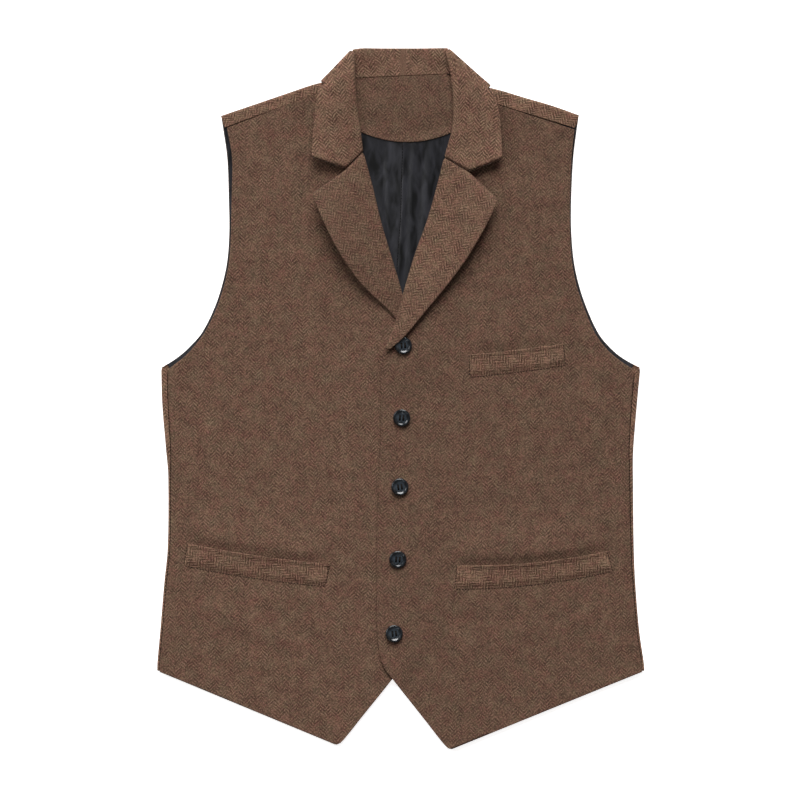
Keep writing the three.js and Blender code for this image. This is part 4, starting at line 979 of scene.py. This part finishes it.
def backHalf(side):
    underarm = cloth["underarmY"]
    sideY = cloth["hemY"] + spread(underarm - cloth["hemY"], 4.0) * (underarm - cloth["hemY"])
    armShares = np.linspace(0, 1, 64)[1:] ** 1.35
    wrapShares = 1 - spread(14.0, 0.9, both=False)[::-1][1:]
    start = -(cloth["back"] / 2 + cloth["shoulderFold"])
    tipX = shoulderLines["tipX"][side]
    tipY = shoulder[side](tipX) + start
    axisTop, reachTop = sideReach(side, underarm)
    cosSlope = math.cos(shoulderLines["slope"])

    def armEdge(y, inward):
        hole = armhole[side](np.maximum(y, 31.0))
        return reachTop + (hole - reachTop) * smooth((y - underarm) / 6) - inward

    def armPoint(t, inward):
        y = underarm + t * (tipY - underarm)
        return backPoint(side, armEdge(y, inward), y, axis=axisTop)

    def wrapPoint(t, x):
        flareShare, flareX, flareWidth = shoulderLines["flare"]
        longer, longerX, longerWidth = shoulderLines["reach"]
        seam = (shoulder[side](x) - shoulderSeamY(side, x)) * cosSlope - cloth["seamGap"] / 2
        end = start + math.pi * cloth["shoulderFold"] + seam - cloth["back"] / 2 - cloth["shoulderFold"]
        end = end + longer * smooth((x - longerX) / longerWidth)
        beyond = start + t * (end - start)
        flare = flareShare * (beyond - start)
        y = shoulder[side](x) + beyond / cosSlope
        return backPoint(side, x + flare * smooth((x - flareX) / flareWidth), y, beyond=beyond)

    def column(parts):
        return np.concatenate([p[0] for p in parts]), np.concatenate([p[1] for p in parts])

    edgeWidth = reachTop - axisTop
    columns = []
    axis, reach = sideReach(side, sideY)
    for share in spread(edgeWidth, 0.8, both=False):
        columns.append(column([
            backPoint(side, reach + share * (axis - reach), sideY, axis=axis),
            armPoint(armShares, share * edgeWidth),
            wrapPoint(wrapShares, np.full(len(wrapShares), tipX - share * edgeWidth)),
        ]))
    startX = shoulderLines["startX"]
    bodyWidth, shoulderWidth = axisTop - startX, tipX - edgeWidth - startX
    armY = underarm + armShares * (tipY - underarm)
    armX = armEdge(armY, edgeWidth)
    for share in np.linspace(1, 0, 38)[1:]:
        lastX, x = startX + bodyWidth * share, startX + shoulderWidth * share
        topY = shoulder[side](x) + start / cosSlope
        columns.append(column([
            backPoint(side, np.full(len(sideY), lastX), sideY),
            backPoint(side, startX + share * (armX - startX), underarm + armShares * (topY - underarm)),
            wrapPoint(wrapShares, np.full(len(wrapShares), x)),
        ]))
    for x in np.linspace(neckLines["facingReach"], 0, 13):
        top = neckTop(signOf[side] * x)
        shoulderLow = shoulder[side](startX) + start / cosSlope - 3
        low = top - 20 + (shoulderLow - top + 20) * np.clip(x / startX, 0, 1) ** 4
        columns.append(column([
            backPoint(side, np.full(len(sideY), x), sideY),
            backPoint(side, np.full(len(armShares), x), underarm + armShares * (low - underarm)),
            backPoint(side, np.full(len(wrapShares), x), low + wrapShares * (top - low)),
        ]))
    return np.stack([c[0] for c in columns]), np.stack([c[1] for c in columns])


leftGrid, leftFlat = backHalf("left")
rightGrid, rightFlat = backHalf("right")
grid = np.concatenate([leftGrid, rightGrid[::-1][1:]])
uv = np.concatenate([leftFlat, rightFlat[::-1][1:]])
backPiece = clothShell("backCloth", grid, cloth["back"], uv, tweedCloth,
                       seams=("firstRow", "lastRow", "lastColumn"), tone=1.45)
layCloth(backPiece, "tweed", "back")
print("back folded round")

# the satin back lining: soft pulls down its length, and a pressed pleat in the middle
liningShape = {
    "hemY": -258.0, "cornerY": 32.0, "tipY": 274.0, "sideInset": 8.0, "armInset": 4.5, "edgeInset": 0.4,
    "pleatY": [-260, 118, 185, 257], "pleatX": [-4, -4, 0, 2],
    "pleatHeight": 1.1, "pleatWidth": 9.0, "pleatFoot": 106.0, "pleatFade": 30.0,
    # pulls: x at the neck, x at the foot, half width, rise
    "pulls": [(-12, -8, 5.0, 1.3), (-21, -14, 4.0, -1.0), (-38, -16, 7.0, 0.6), (7, 3, 2.4, -0.9),
              (13, 8, 3.4, 1.7), (22, 13, 3.2, -1.1), (31, 18, 4.0, 0.9)],
    # short soft puckers beside the middle seam: x, y, half width, half length, lean, rise
    "puckers": [(-3.5, 232, 2.2, 7, 0.5, 0.5), (-4.0, 205, 2.0, 9, -0.4, 0.6), (-3.0, 178, 1.8, 8, 0.5, 0.5),
                (-5.5, 150, 2.0, 9, -0.3, 0.5), (6.5, 220, 2.0, 8, -0.6, 0.5), (5.5, 190, 2.0, 9, 0.4, 0.55),
                (4.0, 162, 1.8, 8, -0.5, 0.5), (1.5, 140, 1.6, 7, 0.3, 0.4), (-24, 240, 3.5, 8, 0.9, 0.5),
                (27, 244, 3.5, 8, -0.9, 0.5)],
    "seamSink": 0.9, "seamWide": 1.3, "underFacing": 1.8, "underLap": 1.6,
    "facingDip": 0.28, "facingDipWide": 4.0,  # where it runs in under the facing
}
pleatX = curve(liningShape["pleatY"], liningShape["pleatX"])


def liningHeight(side, x, y):
    fade = smooth((y - liningShape["pleatFoot"]) / liningShape["pleatFade"])
    rise = liningShape["pleatHeight"] * smooth(1 - (x - pleatX(y)) / liningShape["pleatWidth"]) * fade
    height = backHeight(x, y) + cloth["liningOverBack"] + (rise if side == "right" else 0)
    down = np.clip((250 - y) / 130, 0, 1)
    shown = smooth((y - 96) / 40) * smooth((262 - y) / 26)
    for topX, footX, wide, lift in liningShape["pulls"]:
        place = topX + (footX - topX) * down
        height = height + lift * shown * (1 - 0.5 * down) * np.exp(-((x - place) / wide) ** 2)
    for middleX, middleY, wide, long, lean, lift in liningShape["puckers"]:
        across = (x - middleX - lean * (y - middleY) * 0.3) / wide
        height = height + lift * np.exp(-across ** 2 - ((y - middleY) / long) ** 2)
    seamX = pleatX(y) - 0.6 + 0.5 * np.sin(0.55 * y) + 0.4 * np.sin(0.23 * y + 1)
    height = height - liningShape["seamSink"] * shown * np.exp(-((x - seamX) / liningShape["seamWide"]) ** 2)
    wide = liningShape["facingDipWide"]
    dip = liningShape["facingDip"] * smooth((y - facingEdge(x) + wide) / wide)
    return height - dip * smooth((y - 200) / 30)


def facingEdge(x):
    return neckLines["facingY"] + neckLines["facingCurve"] * (x - neckLines["facingX"]) ** 2


def liningGrid(side):
    sign, far = signOf[side], neckLines["facingReach"]
    low, corner, tip = liningShape["hemY"], liningShape["cornerY"], liningShape["tipY"]
    sideY = low + spread(corner - low, 5.0, both=False) * (corner - low)
    nearTip = 1 - np.array([3.2, 1.2, 0.5, 0.15, 0]) / 236
    armShares = np.concatenate([np.linspace(0, 1, 60)[1:-5] ** 1.2, nearTip])
    t = np.concatenate([np.zeros(len(sideY)), armShares])
    y = np.concatenate([sideY, corner + armShares * (tip - corner)])
    hole = armhole[side](np.maximum(y, corner)) - liningShape["edgeInset"]
    turned = sideFold[side](y)
    outer = np.minimum(turned - np.where(t > 0, liningShape["armInset"], liningShape["sideInset"]), hole)
    outer = np.where((t == 0) & (y < corner - 14), turned - liningShape["sideInset"], outer)

    def neckY(x):
        return np.where(t == 0, y, corner + t * (facingEdge(x) + liningShape["underFacing"] - corner))

    columns = []
    for share in spread(150.0, 4.0, both=False):
        x = sign * (outer + share * (far - outer))
        columns.append(np.stack([x, y + share * (neckY(sign * far) - y)], axis=-1))
    for share in spread(far, 2.2, both=True)[1:]:
        middle = pleatX(neckY(0.0)) + (liningShape["underLap"] if side == "left" else 0)
        x = sign * far + share * (middle - sign * far)
        columns.append(np.stack([x, neckY(x)], axis=-1))
    plan = np.stack(columns)
    return np.concatenate([plan, liningHeight(side, plan[..., 0], plan[..., 1])[..., None]], axis=-1)


for side in ("left", "right"):
    grid = liningGrid(side)
    grid, uv = upward(grid, grid[..., :2].copy())
    piece = clothShell(f"lining{side.capitalize()}Cloth", grid, cloth["lining"], uv, satinCloth,
                       seams=("lastRow",), hem=(4.0, 0.1))
    layCloth(piece, "lining", f"back_lining_{side}")

# neck facing: its lower edge is turned in, and its upper one sinks into the neck seam
facingShape = {"hemRise": 0.85, "hemWide": 8.0, "seamDip": 0.28, "seamWide": 9.0}
far = neckLines["facingReach"]
facingX = -far + spread(2 * far, 2.6)[:, None] * 2 * far
facingShares = spread(60.0, 2.6)[None, :]
facingPlanY = facingEdge(facingX) + facingShares * (neckTop(facingX) - facingEdge(facingX))
facingPlan = np.stack([facingX + 0 * facingPlanY, facingPlanY], axis=-1)
facingHeight = backHeight(facingPlan[..., 0], facingPlan[..., 1]) + cloth["facingOverBack"]
fromHem = facingPlan[..., 1] - facingEdge(facingPlan[..., 0])
facingHeight = facingHeight + facingShape["hemRise"] * (1 - smooth(fromHem / facingShape["hemWide"]))
fromSeam = neckTop(facingPlan[..., 0]) - facingPlan[..., 1]
facingHeight = facingHeight - facingShape["seamDip"] * (1 - smooth(fromSeam / facingShape["seamWide"]))
grid = np.concatenate([facingPlan, facingHeight[..., None]], axis=-1)
piece = clothShell("neckFacingCloth", grid, cloth["facing"], facingPlan, tweedCloth,
                   seams=("lastColumn",), hem=(6.0, 0.15), tone=0.4)
layCloth(piece, "tweed", "back_neck_facing")
print("lining and neck facing laid in")

# how a welt is made, in millimetres: the groove under its folded edge, and how it is sewn down
weltMake = {
    "height": 23.0, "groove": 4.6, "grooveDeep": 0.28, "grooveWide": 0.9, "fold": 4.2, "foldRise": 0.2,
    "footDown": 1.4, "footShare": 0.28, "endWide": 1.8,
}


def weltGrid(shape):
    leftX, leftTop, leftFootX, leftFoot = shape["left"]
    rightX, rightTop, rightFootX, rightFoot = shape["right"]
    length = rightX - leftX
    u = spread(length, 2.4)[:, None]
    v = spread(weltMake["height"], 1.2)[None, :]
    footX, footY = leftFootX + u * (rightFootX - leftFootX), leftFoot + u * (rightFoot - leftFoot)
    topX, topY = leftX + u * (rightX - leftX), leftTop + u * (rightTop - leftTop)
    x = footX + v * (topX - footX)
    y = footY + v * (topY - footY) - 4 * shape["sag"] * u * (1 - u)
    over = cloth["front"] / 2 + cloth["welt"] / 2 + cloth["seamGap"]
    fold = weltMake["height"] * (1 - v)  # millimetres below the folded upper edge
    groove = weltMake["grooveDeep"] * np.exp(-((fold - weltMake["groove"]) / weltMake["grooveWide"]) ** 2)
    crease = weltMake["foldRise"] * smooth((weltMake["fold"] - fold) / 1.5) - groove
    fromEnd = np.minimum(u, 1 - u) * length
    footDown = weltMake["footDown"] * (1 - smooth(v / weltMake["footShare"]))
    sewnDown = np.maximum(footDown, 1 - smooth((fromEnd - 0.3) / weltMake["endWide"]))
    z = frontHeight(shape["side"], x, y) + over + shape["mouth"] * v * v * 4 * u * (1 - u) + crease - sewnDown
    return np.stack([x, y, z], axis=-1)


for name, shape in weltShapes.items():
    grid = weltGrid(shape)
    uv = turnedUv(grid[..., :2], grainTurn["welt"])
    piece = clothShell(f"welt{name.capitalize()}Cloth", grid, cloth["welt"], uv, tweedCloth,
                       hem=(0.1, 0.0), tone=1.1)
    layCloth(piece, "tweed", f"welt_{name}")
print("welts laid on")

# buttons: where each sits, how it leans and turns, in degrees
buttonPlaces = [
    {"x": 2.2, "y": 52.8, "leanX": -2.0, "leanY": 3.0, "turn": 4},
    {"x": 0.8, "y": -19.3, "leanX": 4.0, "leanY": -5.0, "turn": -6},
    {"x": -1.1, "y": -88.5, "leanX": -3.5, "leanY": 3.0, "turn": 8},
    {"x": -3.2, "y": -160.8, "leanX": 2.5, "leanY": 2.5, "turn": -4},
    {"x": -6.9, "y": -235.1, "leanX": -4.5, "leanY": 5.0, "turn": 6},
]
buttonShape = {
    "profile": [(0, 0), (7.2, 0), (8.1, 0.25), (8.55, 0.8), (8.7, 1.4), (8.6, 1.95), (8.25, 2.4), (7.7, 2.66),
                (7.1, 2.62), (6.5, 2.4), (5.9, 2.08), (5.3, 1.86), (4.7, 1.78), (0, 1.74)],
    "segments": 64, "holeRadius": 1.0, "holeX": 1.75, "holeY": 2.1, "holeSides": 20, "drillLength": 8,
    "seat": 0.35, "sharpFrom": 50,  # mm above the solid's foot, and degrees from which an edge is sharp
    "threadRadius": 0.42, "threadRise": 1.7,
}


def buttonMesh():
    bm = bmesh.new()
    rings = []
    count = buttonShape["segments"]
    for radius, z in buttonShape["profile"]:
        if radius == 0:
            rings.append([bm.verts.new((0, 0, z * millimetre))])
            continue
        rings.append([bm.verts.new((radius * millimetre * math.cos(2 * math.pi * k / count),
                                    radius * millimetre * math.sin(2 * math.pi * k / count), z * millimetre))
                      for k in range(count)])
    for first, second in zip(rings, rings[1:]):
        for k in range(count):
            n = (k + 1) % count
            if len(first) == 1:
                bm.faces.new((first[0], second[n], second[k]))
            elif len(second) == 1:
                bm.faces.new((first[k], first[n], second[0]))
            else:
                bm.faces.new((first[k], first[n], second[n], second[k]))
    bmesh.ops.recalc_face_normals(bm, faces=bm.faces)
    mesh = bpy.data.meshes.new("buttonDisc")
    bm.to_mesh(mesh)
    bm.free()
    disc = addObject("buttonDisc", mesh)
    drill = bmesh.new()
    radius, depth = buttonShape["holeRadius"] * millimetre, buttonShape["drillLength"] * millimetre
    holeX, holeY = buttonShape["holeX"] * millimetre, buttonShape["holeY"] * millimetre
    for sx in (-1, 1):
        for sy in (-1, 1):
            made = bmesh.ops.create_cone(drill, cap_ends=True, segments=buttonShape["holeSides"],
                                         radius1=radius, radius2=radius, depth=depth)
            bmesh.ops.translate(drill, verts=made["verts"], vec=(sx * holeX, sy * holeY, millimetre))
    cutMesh = bpy.data.meshes.new("buttonDrill")
    drill.to_mesh(cutMesh)
    drill.free()
    cutter = addObject("buttonDrill", cutMesh)
    cut = disc.modifiers.new("holes", "BOOLEAN")
    cut.operation, cut.solver, cut.object = "DIFFERENCE", "EXACT", cutter
    bpy.context.view_layer.update()
    made = bpy.data.meshes.new_from_object(disc.evaluated_get(bpy.context.evaluated_depsgraph_get()))
    for helper in (disc, cutter):
        bpy.data.objects.remove(helper, do_unlink=True)
    made.polygons.foreach_set("use_smooth", np.ones(len(made.polygons), bool))
    made.set_sharp_from_angle(angle=math.radians(buttonShape["sharpFrom"]))
    made.materials.clear()
    made.materials.append(buttonResin)
    return made


def tube(points, radius, sides=8):
    # a closed round strand along a few points, in millimetres
    points = np.asarray(points, float)
    tangents = np.gradient(points, axis=0)
    tangents /= np.linalg.norm(tangents, axis=1, keepdims=True)
    across = np.cross(tangents, [0.13, 0.21, 0.97])
    across /= np.linalg.norm(across, axis=1, keepdims=True)
    other = np.cross(tangents, across)
    angles = np.linspace(0, 2 * math.pi, sides, endpoint=False)
    taper = np.ones(len(points))
    taper[0] = taper[-1] = 0.55
    cosines, sines = np.cos(angles)[None, :, None], np.sin(angles)[None, :, None]
    outward = across[:, None, :] * cosines + other[:, None, :] * sines
    rings = points[:, None, :] + radius * taper[:, None, None] * outward
    faces = []
    for r in range(len(points) - 1):
        for k in range(sides):
            n = (k + 1) % sides
            faces.append((r * sides + k, r * sides + n, (r + 1) * sides + n, (r + 1) * sides + k))
    last = (len(points) - 1) * sides
    faces.append(tuple(range(sides - 1, -1, -1)))
    faces.append(tuple(last + k for k in range(sides)))
    return rings.reshape(-1, 3), faces


def strands(name, runs, material):
    points, faces, offset = [], [], 0
    for run, radius in runs:
        ring, quads = tube(run, radius)
        points.append(ring)
        faces += [tuple(k + offset for k in f) for f in quads]
        offset += len(ring)
    return meshObject(name, np.concatenate(points) * millimetre, faces, material)


buttonDisc = buttonMesh()
for k, place in enumerate(buttonPlaces, start=1):
    low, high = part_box(f"button_{k}")
    disc = addObject(f"buttonDisc{k}", buttonDisc.copy())
    seat = low[2] + buttonShape["seat"] * millimetre
    disc.location = (place["x"] * millimetre, place["y"] * millimetre, seat)
    disc.rotation_euler = [math.radians(place[key]) for key in ("leanX", "leanY", "turn")]
    dress(disc, "button", f"button_{k}")
    runs = []
    holeX, holeY = buttonShape["holeX"], buttonShape["holeY"]
    for sx in (-1, 1):
        for lay in (-0.5, 0.0, 0.5):
            t = np.linspace(0, math.pi, 9)
            arc = np.stack([sx * holeX + lay * (0.85 + 0.15 * np.sin(t)), -holeY * np.cos(t) * 1.06,
                            0.7 + buttonShape["threadRise"] * np.sin(t) ** 0.6 - 0.2 * abs(lay)], axis=1)
            runs.append((arc, buttonShape["threadRadius"]))
    thread = strands(f"buttonThread{k}", runs, sewingThread)
    thread.location, thread.rotation_euler = disc.location, disc.rotation_euler
    dress(thread, "button")
bpy.data.meshes.remove(buttonDisc)
print("buttons sewn on")

# seam thread that shows round the welts, and dark thread dashes as painted shade along the side seams and
# down the lining's middle, in millimetres
stitchAndShadeDashes = {
    "pitch": 2.9, "length": 1.9, "radius": 0.3, "arch": 0.12,
    "overFold": 0.45, "overWelt": 0.08, "inLining": 0.15, "besideWelt": 0.3, "belowWelt": 0.35,
}


def dashes(x, y, z):
    path = np.stack([x, y, z], axis=1)
    walked = np.pad(np.linalg.norm(np.diff(path, axis=0), axis=1).cumsum(), (1, 0))
    runs = []
    for start in np.arange(1.0, walked[-1] - stitchAndShadeDashes["length"], stitchAndShadeDashes["pitch"]):
        at = start + np.linspace(0, stitchAndShadeDashes["length"], 5)
        points = np.stack([np.interp(at, walked, path[:, axis]) for axis in range(3)], axis=1)
        points[:, 2] += stitchAndShadeDashes["arch"] * np.sin(np.linspace(0, math.pi, 5))
        runs.append((points, stitchAndShadeDashes["radius"]))
    return runs


runs = []
# along the side seams the dark dashes are painted shade: dots in the seam's groove where only shade falls
for side in ("left", "right"):
    y = np.linspace(-262, 26, 90)
    x = signOf[side] * (sideFold[side](y) - sideSeam[side](y))
    runs += dashes(x, y, frontHeight(side, x, y) + stitchAndShadeDashes["overFold"])
for shape in weltShapes.values():
    leftX, leftTop, leftFootX, leftFoot = shape["left"]
    rightX, rightTop, rightFootX, rightFoot = shape["right"]
    t = np.linspace(0.0, 1.0, 40)
    footX, footY = leftFootX + t * (rightFootX - leftFootX), leftFoot + t * (rightFoot - leftFoot)
    beside, below = stitchAndShadeDashes["besideWelt"], stitchAndShadeDashes["belowWelt"]
    sides = [(leftX - beside + t * (leftFootX - leftX), leftTop + t * (leftFoot - leftTop)),
             (rightX + beside + t * (rightFootX - rightX), rightTop + t * (rightFoot - rightTop)),
             (footX, footY - below - 4 * shape["sag"] * t * (1 - t))]
    for x, y in sides:
        runs += dashes(x, y, frontHeight(shape["side"], x, y) + cloth["front"] / 2 + stitchAndShadeDashes["overWelt"])
# down the lining's middle the dark dashes are painted shade, a dotted dark line in the pleat's groove
y = np.linspace(100, 254, 60)
x = pleatX(y) - 0.3
runs += dashes(x, y, liningHeight("right", x, y) + cloth["lining"] / 2 - stitchAndShadeDashes["inLining"])
dress(strands("stitchesAndSeamShade", runs, sewingThread), "tweed")
print("seams sewn")

studio = {
    "floor": "#F6F6F4", "floorGlow": 0.8, "ambient": 0.13,
    "cameraHeight": 4.4, "framedWidth": 0.8, "framedX": -0.001, "framedY": -0.0015,
    "clothHeight": 0.006,  # the framed width is measured at this height above the floor
    # main light, a broad one beyond the neck: the way it comes from, its strength, and its width in degrees
    "keyFrom": (0.02, 0.82, 0.57), "keyPower": 3.8, "keyWidth": 38.0,
    # softboxes: place, size, power
    "boxes": [((-0.5, 1.9, 2.5), 1.2, 6.0), ((-2.2, 1.1, 1.7), 1.1, 22.0), ((1.9, 0.9, 2.2), 1.1, 2.0),
              ((-0.8, -1.4, 2.6), 0.25, 2.0)],
}

floorMaterial, floorTree, floorShader = newMaterial("paleStudioPaper")
grain = addNode(floorTree, "ShaderNodeTexNoise", {"Scale": 400.0}).outputs["Fac"]
floorColour = addNode(floorTree, "ShaderNodeMix", {
    0: grain, 6: linear(studio["floor"]), 7: linear("#FFFFFF")}, data_type="RGBA").outputs[2]
setInputs(floorTree, floorShader, {
    "Base Color": floorColour, "Roughness": 0.9, "Emission Color": (1, 1, 1, 1),
    "Emission Strength": studio["floorGlow"]})
floorPoints = np.array([(-6, -6, 0), (6, -6, 0), (6, 6, 0), (-6, 6, 0)], float)
floor = meshObject("studioFloor", floorPoints - np.array([0, 0, 0.0004]), [(0, 1, 2, 3)], floorMaterial)

world = bpy.data.worlds.new("softStudio")
world.use_nodes = True
bpy.context.scene.world = world
setInputs(world.node_tree, world.node_tree.nodes["Background"], {
    "Color": (1, 1, 1, 1), "Strength": studio["ambient"]})


def aimDown(lamp, place):
    lamp.location = place
    flat = math.hypot(place[0], place[1])
    lamp.rotation_euler = (math.atan2(flat, place[2]), 0, math.atan2(-place[1], -place[0]) - math.pi / 2)


key = bpy.data.lights.new("keyLight", "SUN")
key.energy, key.angle = studio["keyPower"], math.radians(studio["keyWidth"])
aimDown(addObject("keyLight", key), studio["keyFrom"])

for k, (place, size, power) in enumerate(studio["boxes"]):
    light = bpy.data.lights.new(f"softbox{k + 1}", "AREA")
    light.size, light.energy = size, power
    aimDown(addObject(light.name, light), place)

camera = bpy.data.cameras.new("overhead")
camera.lens = 36.0 * studio["cameraHeight"] / studio["framedWidth"]
camera.clip_end = 50
view = addObject("overhead", camera)
view.location = (studio["framedX"], studio["framedY"], studio["cameraHeight"] + studio["clothHeight"])
bpy.context.scene.camera = view
bpy.context.scene.view_settings.view_transform = "Standard"
print("studio set")
